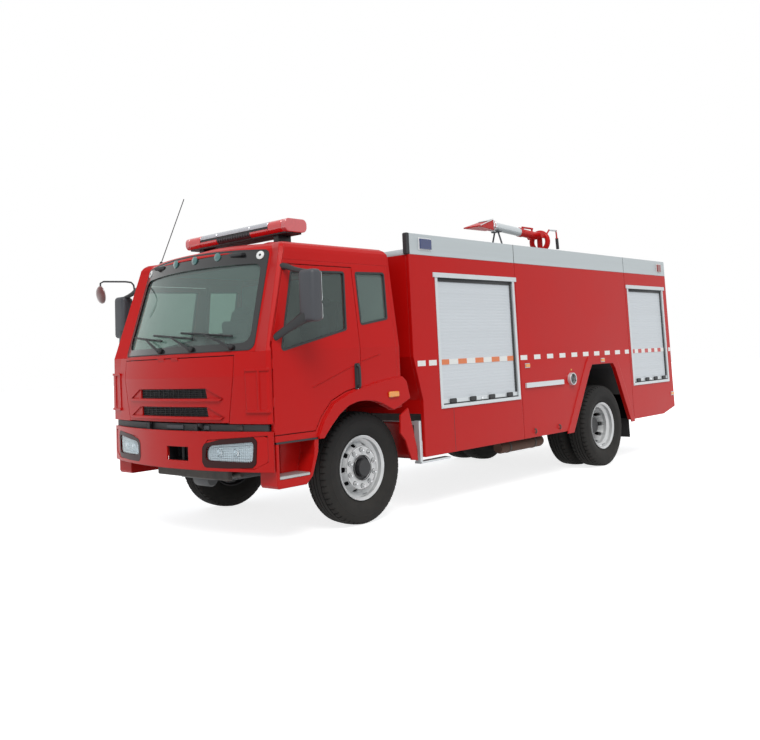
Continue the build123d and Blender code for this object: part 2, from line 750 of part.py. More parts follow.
# Hinged front lid with its two intake slots
slot_rows = [(1262, 1350), (1100, 1187)]
slot_half = 530
slot_reach = 200
scoop_depth = 12
lip_height = 26
scoop_floor = cab_hull(scoop_depth, 60)
lid_edge_depth = 18
lid_edge_top = 1066
with BuildPart() as front_lid:
    add(shell_body)
    add(lid_body, mode=Mode.INTERSECT)
    add(cab_hull(lid_edge_depth, 60) & block((-900, 900), (-1500, -1000), (1000, lid_edge_top)), mode=Mode.SUBTRACT)
    for low, high in lid_hinges:
        add(rod((low, lid_hinge_y, lid_hinge_z), (high, lid_hinge_y, lid_hinge_z), lid_barrel))
        add(block((low, high), (lid_hinge_y - 2, lid_hinge_y + 20), (lid_hinge_z - 20, lid_hinge_z)))
    for low, high in slot_rows:
        add(front_prism([(slot_half + slot_reach, low), (slot_half, high)], 0, 0) - scoop_floor, mode=Mode.SUBTRACT)
        add(front_prism([(slot_half, low), (slot_half - 12, high)], 0, 0), mode=Mode.SUBTRACT)
        add(lip_layer & front_prism(
            [(slot_half + slot_reach - 30, low - lip_height), (slot_half + slot_reach + 10, low)], 0, 0
        ))

# Cab inside: floor with footwell and engine tunnel, dashboard, steering wheel and seats
footwell_z = 1010
floor_skin = 25
bench_floor_z = cab_rest_z + floor_skin
tunnel_half = 430
tunnel_top = 1425
cab_cavity = cab_hull(cab_wall + seat_gap, 60)
floor_line = [(-1400, footwell_z), (-730, footwell_z), (-560, bench_floor_z), (500, bench_floor_z)]
tunnel_room = block(
    (-tunnel_half - floor_skin - 2, tunnel_half + floor_skin + 2), (-1028, 600), (800, tunnel_top + seat_gap)
)
with BuildPart() as cab_floor:
    add(side_plate(floor_line + [(d, z - floor_skin) for d, z in reversed(floor_line)], -1300, 2600))
    add(block((-tunnel_half, tunnel_half), (-1000, 600), (900, 1400)), mode=Mode.SUBTRACT)
    add(
        block((-tunnel_half - floor_skin, tunnel_half + floor_skin), (-1025, 600), (footwell_z - floor_skin, tunnel_top))
        - block((-tunnel_half, tunnel_half), (-1000, 700), (900, tunnel_top - floor_skin))
    )
    add(cab_cavity, mode=Mode.INTERSECT)
    for shape in both_sides(side_plate(pivot_arm, lug_outer_x + 5, 25)):
        add(shape)
    for shape in both_sides(rod((lug_inner_x - 2, pivot_y, pivot_z), (lug_outer_x + 20, pivot_y, pivot_z), pivot_pin)):
        add(shape)
with BuildPart() as dashboard:
    add(side_plate(
        [(-1500, 1330), (-1050, 1330), (-960, 1440), (-975, 1580), (-1080, 1650), (-1500, 1650)], -1300, 2600
    ))
    add(cab_hull(cab_wall + 12, 60), mode=Mode.INTERSECT)
    add(tunnel_room, mode=Mode.SUBTRACT)
    wheel_plane = Plane(origin=(620, fore(-830), 1640), z_dir=(0, 0.6, 0.8))
    with BuildSketch(Plane(origin=wheel_plane.origin, x_dir=wheel_plane.x_dir, z_dir=wheel_plane.y_dir)):
        with Locations((215, 0)):
            Circle(15)
    revolve(axis=Axis(wheel_plane.origin, wheel_plane.z_dir))
    with BuildSketch(wheel_plane.offset(-12)):
        Rectangle(430, 44)
        Rectangle(44, 215, align=(Align.CENTER, Align.MAX))
        Circle(50)
    extrude(amount=16)
    with BuildSketch(wheel_plane.offset(-12)):
        Circle(28)
    extrude(amount=-260)

seat_half = 240
seat_x = 620
with BuildPart() as seats:
    for x in (seat_x, -seat_x):
        low = x - seat_half
        add(side_plate([(-520, bench_floor_z + 1), (-250, bench_floor_z + 1), (-250, 1420), (-520, 1420)], low + 60, 360))
        add(side_plate(
            [(-620, 1410), (-200, 1410), (-60, 1500), (60, 2170), (-20, 2190), (-170, 1560), (-600, 1540)], low, 480
        ))
    add(side_plate([(140, bench_floor_z + 1), (385, bench_floor_z + 1), (385, 1500), (140, 1500)], -1100, 2200))
    add(tunnel_room, mode=Mode.SUBTRACT)

# Wipers: three arms at the foot of the screen
wiper_pivots = [-760, -130, 560]
with BuildPart() as wipers:
    for x in wiper_pivots:
        line = cab_nose + cab_bow * (x / cab_bow_half) ** 2 - 12
        add(rod((x, line - 6, cab_belt + 24), (x, line + 40, cab_belt + 36), 14))
        add(rod((x, line - 6, cab_belt + 28), (x - 380, line - 24 + cab_bow * ((x - 380) ** 2 - x * x) / cab_bow_half ** 2, cab_belt + 90), 7))
    add(seat_hull, mode=Mode.SUBTRACT)

# Roof: light bar of five lens blocks on a tray, and the aerial
bar_y = -470
bar_half = 805
bar_bottom = 2782
bar_height = 128
bar_depth = 280
bar_joint = 6
bar_skin = 5
bar_blocks = [(-bar_half, -545), (-545, -265), (-265, 265), (265, 545), (545, bar_half)]
bar_foot_x = 600


def bar_run(low, high, shrink):
    """Length of the bar's rounded section, made smaller by a shrink."""
    with BuildPart(mode=Mode.PRIVATE) as run:
        with BuildSketch(Plane.YZ.offset(low)):
            with Locations((fore(bar_y), bar_bottom + bar_height / 2)):
                RectangleRounded(bar_depth - 2 * shrink, bar_height - 2 * shrink, 52 - shrink)
        extrude(amount=high - low)
    return run.part


with BuildPart() as light_bar:
    add(bar_run(-bar_half + bar_skin, bar_half - bar_skin, bar_skin))
    for low, high in bar_blocks:
        add(bar_run(low + bar_joint / 2, high - bar_joint / 2, 0))
    add(block((-bar_half + 40, bar_half - 40), (bar_y - 105, bar_y + 105), (bar_bottom - 12, bar_bottom + 12)))
    for x in (-bar_foot_x, bar_foot_x):
        add(block((x - 45, x + 45), (bar_y - 110, bar_y + 110), (2650, bar_bottom + 20)))
    add(seat_hull, mode=Mode.SUBTRACT)
with BuildPart() as aerial:
    add(rod((-1000, -800, 2635), (-1000, -480, 3385), 5))
    add(rod((-1000, -822, 2560), (-1000, -780, 2665), 22))
    add(seat_hull, mode=Mode.SUBTRACT)

# Door mirrors: housing on a thick and a tapered arm, and the right one with a round mirror ahead
mirror_x = 1490
mirror_y = -960
mirror_z = (1885, 2330)
upper_arm_end = (1300, mirror_y, 2350)


def tapered_rod(start, end, first_radius, last_radius):
    """Round bar between two points whose radius changes along it."""
    first = Vector(start[0], fore(start[1]), start[2])
    last = Vector(end[0], fore(end[1]), end[2])
    with BuildPart(mode=Mode.PRIVATE) as bar:
        for centre, radius in ((first, first_radius), (last, last_radius)):
            with BuildSketch(Plane(origin=centre, z_dir=last - first)):
                Circle(radius)
        loft(ruled=True)
    return bar.part


with BuildPart() as mirror_left:
    with BuildSketch(Plane.XY.offset(mirror_z[0])):
        with Locations((mirror_x, fore(mirror_y))):
            RectangleRounded(190, 125, 40)
    extrude(amount=mirror_z[1] - mirror_z[0])
    add(rod((1145, -965, 2392), upper_arm_end, 18))
    add(rod(upper_arm_end, (1450, mirror_y, 2312), 18))
    add(tapered_rod((1215, -1140, 1762), (1450, mirror_y - 20, 1935), 16, 42))
    add(seat_hull, mode=Mode.SUBTRACT)
with BuildPart() as mirror_right:
    mirror(mirror_left.part, about=Plane.YZ)
    round_arm = [(-1250, -963, 2362), (-1250, -985, 2470), (-1450, -1250, 2485), (-1450, -1255, 2360)]
    for start, end in zip(round_arm, round_arm[1:]):
        add(rod(start, end, 9))
    add(rod((-1450, -1235, 2344), (-1450, -1275, 2344), 95))

# Equipment body
front_edge = [
    (body_front, band_top), (body_front, 1547), (body_front + 120, 1109), (body_front + 115, body_bottom),
]
body_outline = [
    (front_edge[0][0], band_bottom), front_edge[1], front_edge[2], front_edge[3], (6250, body_bottom),
    (body_rear, 630), (body_rear, band_bottom),
]
arch_opening = [
    (3640, 500), (4150, 1262), (4215, 1335), (4785, 1335), (4850, 1262), (5215, 500),
]
arch_flange = [
    (3520, body_bottom), (4065, 1360), (4130, 1432), (4870, 1432), (4935, 1360), (seam_rear, body_bottom),
    (seam_rear, 515), (3500, 515),
]
arch_proud = 10
shutters = [(1043, 2520), (5365, 6530)]
rear_shutter_half = 760
panel_x = body_half_width - body_wall


def shutter_opening(start, end, x_low, x_high):
    """Opening for one side shutter's frame."""
    return block((x_low, x_high), (start, end), (sill_z, header_bottom + header_height))


body_outer = side_plate(body_outline, panel_x, body_wall)
with BuildPart() as body_side_left:
    add(body_outer)
    add(side_plate(arch_flange, body_half_width - 1, arch_proud + 1))
    add(side_plate(arch_opening, panel_x - 50, 200), mode=Mode.SUBTRACT)
    for start, end in shutters:
        add(shutter_opening(start, end, panel_x - 50, panel_x + 200), mode=Mode.SUBTRACT)
    for seam in (seam_front, seam_rear):
        add(block((body_half_width - 4, body_half_width + 50), (seam - 4, seam + 4), (400, 2700)), mode=Mode.SUBTRACT)
with BuildPart() as body_side_right:
    mirror(body_side_left.part, about=Plane.YZ)

front_wall_line = [
    (front_edge[0][0], band_bottom), front_edge[1], front_edge[2], (front_edge[3][0] + 5, body_floor_top - floor_thickness),
]
with BuildPart() as body_front_wall:
    add(side_plate(
        front_wall_line + [(d + 30, z) for d, z in reversed(front_wall_line)],
        seat_gap - panel_x, 2 * (panel_x - seat_gap)
    ))
with BuildPart() as body_rear_wall:
    add(block(
        (seat_gap - panel_x, panel_x - seat_gap), (body_rear - body_wall, body_rear), (620, band_bottom)
    ))
    add(block(
        (-rear_shutter_half, rear_shutter_half), (body_rear - 100, body_rear + 50), (sill_z, header_bottom + header_height)
    ), mode=Mode.SUBTRACT)

inner_half = panel_x - seat_gap
floor_front = body_front + 150 + seat_gap
box_inner = 560
with BuildPart() as body_floor:
    add(block((-inner_half, inner_half), (floor_front, body_rear - body_wall - seat_gap), (body_floor_top - floor_thickness, body_floor_top)))
    for sign in (-1, 1):
        low = box_inner if sign > 0 else -inner_half
        add(side_plate([(3610, 900), (4130, 1275), (4205, 1360), (4795, 1360), (4870, 1275), (5245, 900)], low, inner_half - box_inner))
        gap_low = box_inner + 15 if sign > 0 else -inner_half - 1
        add(side_plate(
            [(3640, 490), (4150, 1262), (4215, 1335), (4785, 1335), (4850, 1262), (5215, 490)],
            gap_low, inner_half - box_inner - 14
        ), mode=Mode.SUBTRACT)
    for seam in (seam_front, seam_rear):
        add(block((-inner_half, inner_half), (seam - 15, seam + 15), (body_floor_top - 5, deck_top - deck_thickness - seat_gap)))
    for distance in (1500, 3300, 5900):
        for sign in (-1, 1):
            x_range = (rail_outer_x - 75, rail_outer_x) if sign > 0 else (-rail_outer_x, 75 - rail_outer_x)
            add(block(x_range, (distance - 60, distance + 60), (rail_top + seat_gap, body_floor_top - floor_thickness)))

with BuildPart() as water_tank:
    with BuildSketch(Plane.XZ.offset(-fore(seam_front + 60))):
        with BuildLine():
            Polyline(
                (-500, body_floor_top + seat_gap), (500, body_floor_top + seat_gap), (500, 1400), (1120, 1400), (1120, 2560),
                (-1120, 2560), (-1120, 1400), (-500, 1400), close=True,
            )
        make_face()
    extrude(amount=-(seam_rear - seam_front - 120))

rail_skin = 22
with BuildPart() as top_rails:
    with BuildSketch(Plane.XY.offset(band_bottom + seat_gap)):
        with Locations((0, fore((body_front + body_rear) / 2))):
            Rectangle(2 * body_half_width, body_rear - body_front)
            Rectangle(2 * (body_half_width - rail_skin), body_rear - body_front - 2 * rail_skin, mode=Mode.SUBTRACT)
    extrude(amount=band_top - band_bottom - seat_gap)
    for seam in (seam_front, seam_rear):
        for shape in both_sides(block((body_half_width - 4, body_half_width + 50), (seam - 6, seam + 6), (2500, 2900))):
            add(shape, mode=Mode.SUBTRACT)

roof_half = body_half_width - rail_skin - seat_gap
roof_run = (body_front + rail_skin + seat_gap, body_rear - rail_skin - seat_gap)
walkway_lift = 4
with BuildPart() as body_roof:
    add(block((-roof_half, roof_half), roof_run, (deck_top - deck_thickness, deck_top)))
    add(block((-950, 950), (body_front + 120, 3900), (deck_top - 1, deck_top + walkway_lift)))

# Roller shutters: a ribbed curtain in a frame with a header and a sill
slat_pitch = 44
slat_groove = 8
slat_depth = 5
curtain_x = 1228
curtain_thickness = 14


def curtain_profile(x_face, low, high):
    """Section of the curtain: flat slats with a groove between each two."""
    count = int((high - low) / slat_pitch)
    points = [(x_face - curtain_thickness, low), (x_face, low)]
    for number in range(1, count):
        z = low + number * slat_pitch
        points += [(x_face, z - slat_groove / 2), (x_face - slat_depth, z), (x_face, z + slat_groove / 2)]
    return points + [(x_face, high), (x_face - curtain_thickness, high)]


with BuildPart() as roller_shutters:
    for start, end in shutters:
        with BuildSketch(Plane.XZ.offset(-fore(start + shutter_frame_width + seat_gap))):
            with BuildLine():
                Polyline(*curtain_profile(curtain_x, sill_z + 36, header_bottom - seat_gap), close=True)
            make_face()
        extrude(amount=-(end - start - 2 * shutter_frame_width - 2 * seat_gap))
    mirror(about=Plane.YZ)
    with BuildSketch(Plane.YZ.offset(-rear_shutter_half + shutter_frame_width + seat_gap)):
        with BuildLine():
            Polyline(
                *[(fore(body_rear + 2 - curtain_x) + x - 2, z)
                  for x, z in curtain_profile(curtain_x - 22, sill_z + 36, header_bottom - seat_gap)], close=True,
            )
        make_face()
    extrude(amount=2 * (rear_shutter_half - shutter_frame_width - seat_gap))

frame_back = 1196
frame_face = 1262


def shutter_frame(start, end):
    """Frame of a side shutter: two posts, a sill and a wider header."""
    with BuildPart(mode=Mode.PRIVATE) as frame:
        add(block((frame_back, frame_face - 8), (start + seat_gap, end - seat_gap), (sill_z + seat_gap, header_bottom)))
        add(block(
            (0, 1400), (start + shutter_frame_width, end - shutter_frame_width), (sill_z + 35, header_bottom + 1)
        ), mode=Mode.SUBTRACT)
        add(block((frame_back, frame_face - 10), (start + seat_gap, end - seat_gap), (header_bottom, header_bottom + header_height - seat_gap)))
        add(block((body_half_width + seat_gap, frame_face), (start - 35, end + 35), (header_bottom, header_bottom + header_height)))
    return frame.part


with BuildPart() as shutter_frames:
    for start, end in shutters:
        for shape in both_sides(shutter_frame(start, end)):
            add(shape)
    rear_low = body_rear - 54
    add(block(
        (seat_gap - rear_shutter_half, rear_shutter_half - seat_gap), (rear_low, body_rear + 8),
        (sill_z + seat_gap, header_bottom + header_height - seat_gap)
    ))
    add(block(
        (shutter_frame_width - rear_shutter_half, rear_shutter_half - shutter_frame_width), (rear_low - 10, body_rear + 20),
        (sill_z + 35, header_bottom)
    ), mode=Mode.SUBTRACT)

# Fittings, lamps and flaps
with BuildPart() as side_fittings:
    add(block((body_half_width + seat_gap, body_half_width + 22), (2625, 3468), (1123, 1180)))
    add(rod((body_half_width + seat_gap, 3668, 1178), (body_half_width + 40, 3668, 1178), 76))
    add(block((1150, 1235), (700, 1180), (body_bottom - 60, body_bottom - 40)))
    add(block((1160, 1225), (700, 735), (body_bottom - 60, 905)))
    add(block((rail_outer_x + seat_gap, 1165), (702, 732), (865, 900)))
    mirror(about=Plane.YZ)
with BuildPart() as lamps_blue:
    add(block((body_half_width + seat_gap, body_half_width + 20), (816, 996), (2645, 2748)))
    mirror(about=Plane.YZ)
with BuildPart() as lamps_red:
    add(block((body_half_width + seat_gap, body_half_width + 20), (6385, 6495), (2640, 2745)))
    add(block((1110, 1225), (body_rear + seat_gap, body_rear + 35), (700, 980)))
    mirror(about=Plane.YZ)
with BuildPart() as lamps_amber:
    for distance, z, lift in ((2696, 1380, 0), (4499, 1384, arch_proud), (6595, 820, 0)):
        add(block((body_half_width + lift + seat_gap, body_half_width + lift + 14), (distance - 42, distance + 42), (z - 18, z + 18)))
    mirror(about=Plane.YZ)
with BuildPart() as mud_flaps:
    add(block((600, 1205), (5225, 5237), (305, body_bottom + 60)))
    add(block((spring_x + 136 + seat_gap, 640), (5222, 5238), (rail_bottom - 45, rail_bottom + 60)))
    add(block((600, 640), (5222, 5238), (560, rail_bottom)))
    mirror(about=Plane.YZ)

ladder_rail = 18
with BuildPart() as rear_ladder:
    ladder_y = overall_length - front_overhang - ladder_rail
    for x in (-1050, -790):
        add(rod((x, ladder_y, 700), (x, ladder_y, 2790), ladder_rail))
        for z in (760, 1760, 2740):
            add(rod((x, body_rear + seat_gap, z), (x, ladder_y, z), 14))
    for number in range(7):
        z = 760 + number * 300
        add(rod((-1050, ladder_y, z), (-790, ladder_y, z), 14))

# Monitor: riser, ring swivel with a tiller, barrel with fan nozzle
monitor_y = 5200
riser_top = 2960
riser_radius = 62
ring_radius = 135
ring_pipe = 38
ring_z = 3168
trunnion_y = 5088
trunnion_z = 3250
trunnion_radius = 48
boss_x = (72, 120)
barrel_radius = 58
barrel_front = 3900
barrel_front_z = 3316
barrel_slope = (barrel_front_z - trunnion_z) / (trunnion_y - barrel_front)
nozzle_tip = 3485
nozzle_tip_z = 3256
rest_y = 4070
rest_half = 30
rest_gap = 8
rest_top = trunnion_z + barrel_slope * (trunnion_y - rest_y - rest_half) - barrel_radius - rest_gap
tiller_x = 110
tiller_path = [(tiller_x, 5215, 3262), (tiller_x, 5300, 3340), (tiller_x, 5505, 3346), (tiller_x, 5520, 3065)]


def on_barrel(distance):
    """Point of the barrel's axis at a distance behind the front axle."""
    return (0, distance, trunnion_z + barrel_slope * (trunnion_y - distance))


with BuildPart() as monitor_base:
    add(rod((0, monitor_y, deck_top + seat_gap), (0, monitor_y, deck_top + 25), 130))
    add(rod((0, monitor_y, deck_top + 20), (0, monitor_y, riser_top), riser_radius))
    for x in (-200, 200):
        add(rod((x, rest_y, deck_top + 8), (0.15 * x, rest_y, rest_top - 10), 12))
    add(block((-70, 70), (rest_y - rest_half, rest_y + rest_half), (rest_top - 16, rest_top)))
    add(block((-230, 230), (rest_y - rest_half, rest_y + rest_half), (deck_top + seat_gap, deck_top + 22)))
with BuildPart() as monitor_swivel:
    add(rod((0, monitor_y, riser_top + seat_gap), (0, monitor_y, riser_top + 55), 84))
    add(rod((0, monitor_y, riser_top + 50), (0, monitor_y, ring_z + ring_radius), 40))
    with BuildSketch(Plane.XY.offset(ring_z)):
        with Locations((ring_radius, fore(monitor_y))):
            Circle(ring_pipe)
    revolve(axis=Axis((0, fore(monitor_y), ring_z), (0, 1, 0)))
    for x_range in (boss_x, (-boss_x[1], -boss_x[0])):
        add(block(x_range, (trunnion_y - 10, monitor_y), (trunnion_z - 38, trunnion_z + 38)))
        add(rod((x_range[0], trunnion_y, trunnion_z), (x_range[1], trunnion_y, trunnion_z), trunnion_radius))
    for start, end in zip(tiller_path, tiller_path[1:]):
        add(rod(start, end, 12))
    add(rod((tiller_x, 5511, 3235), tiller_path[-1], 22))
with BuildPart() as monitor_barrel:
    add(rod(on_barrel(trunnion_y), on_barrel(barrel_front), barrel_radius))
    add(rod((-boss_x[0] + seat_gap, trunnion_y, trunnion_z), (boss_x[0] - seat_gap, trunnion_y, trunnion_z), trunnion_radius))
    add(rod(on_barrel(barrel_front + 90), on_barrel(barrel_front), 80))
    add(rod(on_barrel(4700), on_barrel(4640), 68))
    with BuildSketch(Plane.XZ.offset(-fore(barrel_front))):
        with Locations((0, barrel_front_z)):
            Rectangle(150, 150)
    with BuildSketch(Plane.XZ.offset(-fore(nozzle_tip))):
        with Locations((0, nozzle_tip_z)):
            Rectangle(270, 16)
    loft(ruled=True)
    add(rod((0, 4740, 3352), (0, 5020, 3352), 14))
    for distance in (4760, 5000):
        add(rod(on_barrel(distance), (0, distance, 3350), 14))

NODES = {
    "front_tyre_left": front_tyre_left, "front_tyre_right": front_tyre_right,
    "front_wheel_left": front_wheel_left, "front_wheel_right": front_wheel_right,
    "rear_tyres_left": rear_tyres_left, "rear_tyres_right": rear_tyres_right,
    "rear_wheels_left": rear_wheels_left, "rear_wheels_right": rear_wheels_right,
    "knuckle_left": knuckle_left, "knuckle_right": knuckle_right, "front_axle": front_axle,
    "rear_axle": rear_axle, "chassis_frame": chassis_frame, "engine_block": engine_block,
    "propeller_shaft": propeller_shaft, "fuel_tank": fuel_tank, "front_bumper": front_bumper,
    "headlamps": headlamps, "headlamp_lenses": headlamp_lenses, "entry_steps": entry_steps,
    "front_mudguards": front_mudguards, "cab_front": cab_front, "cab_roof": cab_roof,
    "cab_rear_wall": cab_rear_wall, "cab_side_left": cab_side_left, "cab_side_right": cab_side_right,
    "door_left": door_left, "door_right": door_right, "door_glass_left": door_glass_left,
    "door_glass_right": door_glass_right, "cab_windows": cab_windows, "front_lid": front_lid,
    "cab_floor": cab_floor, "dashboard": dashboard, "seats": seats,
    "wipers": wipers, "light_bar": light_bar, "aerial": aerial, "mirror_left": mirror_left,
    "mirror_right": mirror_right, "body_side_left": body_side_left, "body_side_right": body_side_right,
    "body_front_wall": body_front_wall, "body_rear_wall": body_rear_wall, "body_floor": body_floor,
    "water_tank": water_tank, "body_roof": body_roof, "top_rails": top_rails,
    "roller_shutters": roller_shutters, "shutter_frames": shutter_frames, "side_fittings": side_fittings,
    "lamps_blue": lamps_blue, "lamps_red": lamps_red, "lamps_amber": lamps_amber, "mud_flaps": mud_flaps,
    "rear_ladder": rear_ladder, "monitor_base": monitor_base,
    "monitor_swivel": monitor_swivel, "monitor_barrel": monitor_barrel,
}
for node_name, node in NODES.items():
    finish(node, node_name)
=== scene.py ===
"""Looks of the fire rescue truck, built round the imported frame. Metres, front towards -Y."""
import math
import random

import bmesh
import bpy
from mathutils import Matrix, Vector


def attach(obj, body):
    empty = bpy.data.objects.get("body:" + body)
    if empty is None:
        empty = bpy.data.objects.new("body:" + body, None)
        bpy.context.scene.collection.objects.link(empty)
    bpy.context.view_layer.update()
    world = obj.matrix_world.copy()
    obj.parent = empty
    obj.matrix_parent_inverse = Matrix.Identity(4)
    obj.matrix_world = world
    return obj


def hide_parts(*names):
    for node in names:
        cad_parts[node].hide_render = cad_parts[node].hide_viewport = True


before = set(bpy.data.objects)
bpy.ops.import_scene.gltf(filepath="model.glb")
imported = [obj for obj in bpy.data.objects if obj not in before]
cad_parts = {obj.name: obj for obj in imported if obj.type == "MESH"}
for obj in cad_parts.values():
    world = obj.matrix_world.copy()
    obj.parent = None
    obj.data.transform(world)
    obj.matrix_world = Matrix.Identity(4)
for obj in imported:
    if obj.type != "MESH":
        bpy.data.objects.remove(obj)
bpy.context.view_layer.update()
random.seed(7)
FRONT_AXLE = -2.660
AXLE_Z = 0.527
WHEELBASE = 4.5
FRONT_WHEEL_X, REAR_OUTER_X, REAR_INNER_X = 0.985, 1.090, 0.760
BELT = 1.655
SIDES = (("left", 1), ("right", -1))
# Shutter openings: start and end behind the front axle
SHUTTERS = ((1.043, 2.520), (5.365, 6.530))


def across(sign, low, high):
    """Range of x on one side of the truck: sign is 1 on the left and -1 on the right."""
    return tuple(sorted((sign * low, sign * high)))


def P(x, d, z):
    """Point from x, the distance behind the front axle, and the height."""
    return Vector((x, FRONT_AXLE + d, z))


def route(sign, *points):
    """Points from (x, distance, height), mirrored where the sign is -1."""
    return [P(sign * x, d, z) for x, d, z in points]


def linear(r, g, b):
    """Linear colour from 0 to 255 display values."""
    return tuple(((c / 255) / 12.92 if c <= 10.3 else ((c / 255 + 0.055) / 1.055) ** 2.4) for c in (r, g, b))


# Materials


def fill(tree, node, inputs):
    """Sets a node's inputs, each to a value or linked to another node's output."""
    for key, value in inputs.items():
        if isinstance(value, bpy.types.NodeSocket):
            tree.links.new(value, node.inputs[key])
        else:
            node.inputs[key].default_value = value


def add_node(tree, kind, inputs, **settings):
    """New shader node with its own settings and inputs."""
    node = tree.nodes.new("ShaderNode" + kind)
    for key, value in settings.items():
        setattr(node, key, value)
    fill(tree, node, inputs)
    return node


def math_node(tree, operation, *values):
    """Output of a math node on values or other outputs."""
    return add_node(tree, "Math", dict(enumerate(values)), operation=operation).outputs[0]


def colour_mix(tree, share, first, second):
    """Output of a colour mix: the first colour where the share is 0, the second where it is 1."""
    return add_node(tree, "Mix", {0: share, 6: first, 7: second}, data_type="RGBA").outputs[2]


def new_material(name):
    """Material with nodes, with its tree."""
    m = bpy.data.materials.new(name)
    m.use_nodes = True
    return m, m.node_tree


def material(name, colour, rough=0.5, metal=0.0, coat=0.0, vary=0.08, scale=3.0, bump=0.0, bump_scale=200.0,
             dust=0.0, stretch=None, spec=0.5, round_edge=0.0):
    """Procedural material from a display colour, varied by noise, with fine bump and dust near the ground."""
    colour = linear(*colour)
    m, tree = new_material(name)
    shader = tree.nodes["Principled BSDF"]
    where = add_node(tree, "TexCoord", {}).outputs["Object"]
    source = where
    if stretch:
        source = add_node(tree, "Mapping", {"Scale": stretch, "Vector": where}).outputs["Vector"]
    noise = add_node(tree, "TexNoise", {"Scale": scale, "Detail": 5.0, "Vector": source}).outputs["Fac"]
    out = colour_mix(tree, noise, (*[c * (1 - vary) for c in colour], 1),
                     (*[min(1, c * (1 + vary)) for c in colour], 1))
    rough_map = add_node(tree, "MapRange", {
        "To Min": max(0.02, rough - 0.06), "To Max": min(1, rough + 0.08), "Value": noise})
    if dust:
        height = add_node(tree, "SeparateXYZ", {"Vector": where}).outputs["Z"]
        low = add_node(tree, "MapRange",
                       {"From Min": 0.2, "From Max": 1.3, "To Min": dust, "To Max": 0.0,
                        "Value": height}).outputs["Result"]
        grain = add_node(tree, "TexNoise", {"Scale": 9.0, "Detail": 8.0, "Vector": where}).outputs["Fac"]
        out = colour_mix(tree, math_node(tree, "MULTIPLY", low, grain), out, (*linear(150, 138, 122), 1))
    fill(tree, shader, {
        "Metallic": metal, "Coat Weight": coat, "Coat Roughness": 0.06, "Specular IOR Level": spec,
        "Roughness": rough_map.outputs["Result"], "Base Color": out})
    edge = {}
    if round_edge:
        edge = {"Normal": add_node(tree, "Bevel", {"Radius": round_edge}, samples=4).outputs["Normal"]}
        fill(tree, shader, edge)
    if bump:
        fine = add_node(tree, "TexNoise",
                        {"Scale": bump_scale, "Detail": 3.0, "Vector": source}).outputs["Fac"]
        relief = add_node(tree, "Bump", {"Strength": bump, "Distance": 0.002, "Height": fine, **edge})
        fill(tree, shader, {"Normal": relief.outputs["Normal"]})
    return m


def glass(name, tint, gloss=0.05, index=1.5, painted_reflection=0.0):
    """Thin glass: tinted see-through with a Fresnel reflection and a pale painted reflection."""
    m, tree = new_material(name)
    tree.nodes.remove(tree.nodes["Principled BSDF"])
    clear = add_node(tree, "BsdfTransparent", {"Color": (*linear(*tint), 1)}).outputs["BSDF"]
    shine = add_node(tree, "BsdfGlossy", {"Roughness": gloss, "Color": (0.9, 0.95, 0.93, 1)}).outputs["BSDF"]
    fresnel = add_node(tree, "Fresnel", {"IOR": index}).outputs["Fac"]
    back = add_node(tree, "NewGeometry", {}).outputs["Backfacing"]
    amount = math_node(tree, "MULTIPLY", fresnel, math_node(tree, "SUBTRACT", 1.0, back))
    mix = add_node(tree, "MixShader", {"Fac": amount, 1: clear, 2: shine}).outputs["Shader"]
    # Pale diffuse layer: painted reflection of the sky on the glass.
    painted_reflection_layer = add_node(tree, "BsdfDiffuse", {"Color": (0.60, 0.78, 0.74, 1)}).outputs["BSDF"]
    with_painted_reflection = add_node(tree, "MixShader", {"Fac": painted_reflection, 1: mix, 2: painted_reflection_layer}).outputs["Shader"]
    fill(tree, tree.nodes["Material Output"], {"Surface": with_painted_reflection})
    return m


def painted_over(m, second_first, share, dark):
    """Mixes a dark colour into a material's base colour, before it or after it in the mix."""
    shader = m.node_tree.nodes["Principled BSDF"]
    base = shader.inputs["Base Color"].links[0].from_socket
    pair = (dark, base) if second_first else (base, dark)
    fill(m.node_tree, shader, {"Base Color": colour_mix(m.node_tree, share, *pair)})


def place_output(m):
    """Output of a material's own coordinates node."""
    return next(n for n in m.node_tree.nodes if n.type == "TEX_COORD").outputs["Object"]


def wheel_paint(name, axis_y, dark_radius, painted_shade_x, colour):
    """Silver wheel paint with a black hub, told apart by the distance from the axle, and painted shade on
    everything inboard of a given x.
    """
    m = material(name, colour, rough=0.36, metal=0.35, vary=0.10, scale=14, bump=0.05, bump_scale=300,
                 dust=0.25)
    tree, where = m.node_tree, place_output(m)
    offset = add_node(tree, "VectorMath", {0: where, 1: (0, axis_y, AXLE_Z)}, operation="SUBTRACT")
    flat = add_node(tree, "VectorMath", {0: offset.outputs["Vector"], 1: (0, 1, 1)}, operation="MULTIPLY")
    length = add_node(tree, "VectorMath", {0: flat.outputs["Vector"]}, operation="LENGTH")
    step = add_node(tree, "MapRange", {"From Min": dark_radius - 0.001, "From Max": dark_radius + 0.001,
                                       "Value": length.outputs["Value"]})
    # Inboard of the given x the dark colour is painted shade inside the dish; within the hub radius it is the
    # black hub paint.
    out_x = math_node(tree, "ABSOLUTE", add_node(tree, "SeparateXYZ", {"Vector": where}).outputs["X"])
    face = math_node(tree, "GREATER_THAN", out_x, painted_shade_x)
    both = math_node(tree, "MULTIPLY", step.outputs["Result"], face)
    painted_over(m, True, both, (0.018, 0.018, 0.02, 1))
    return m


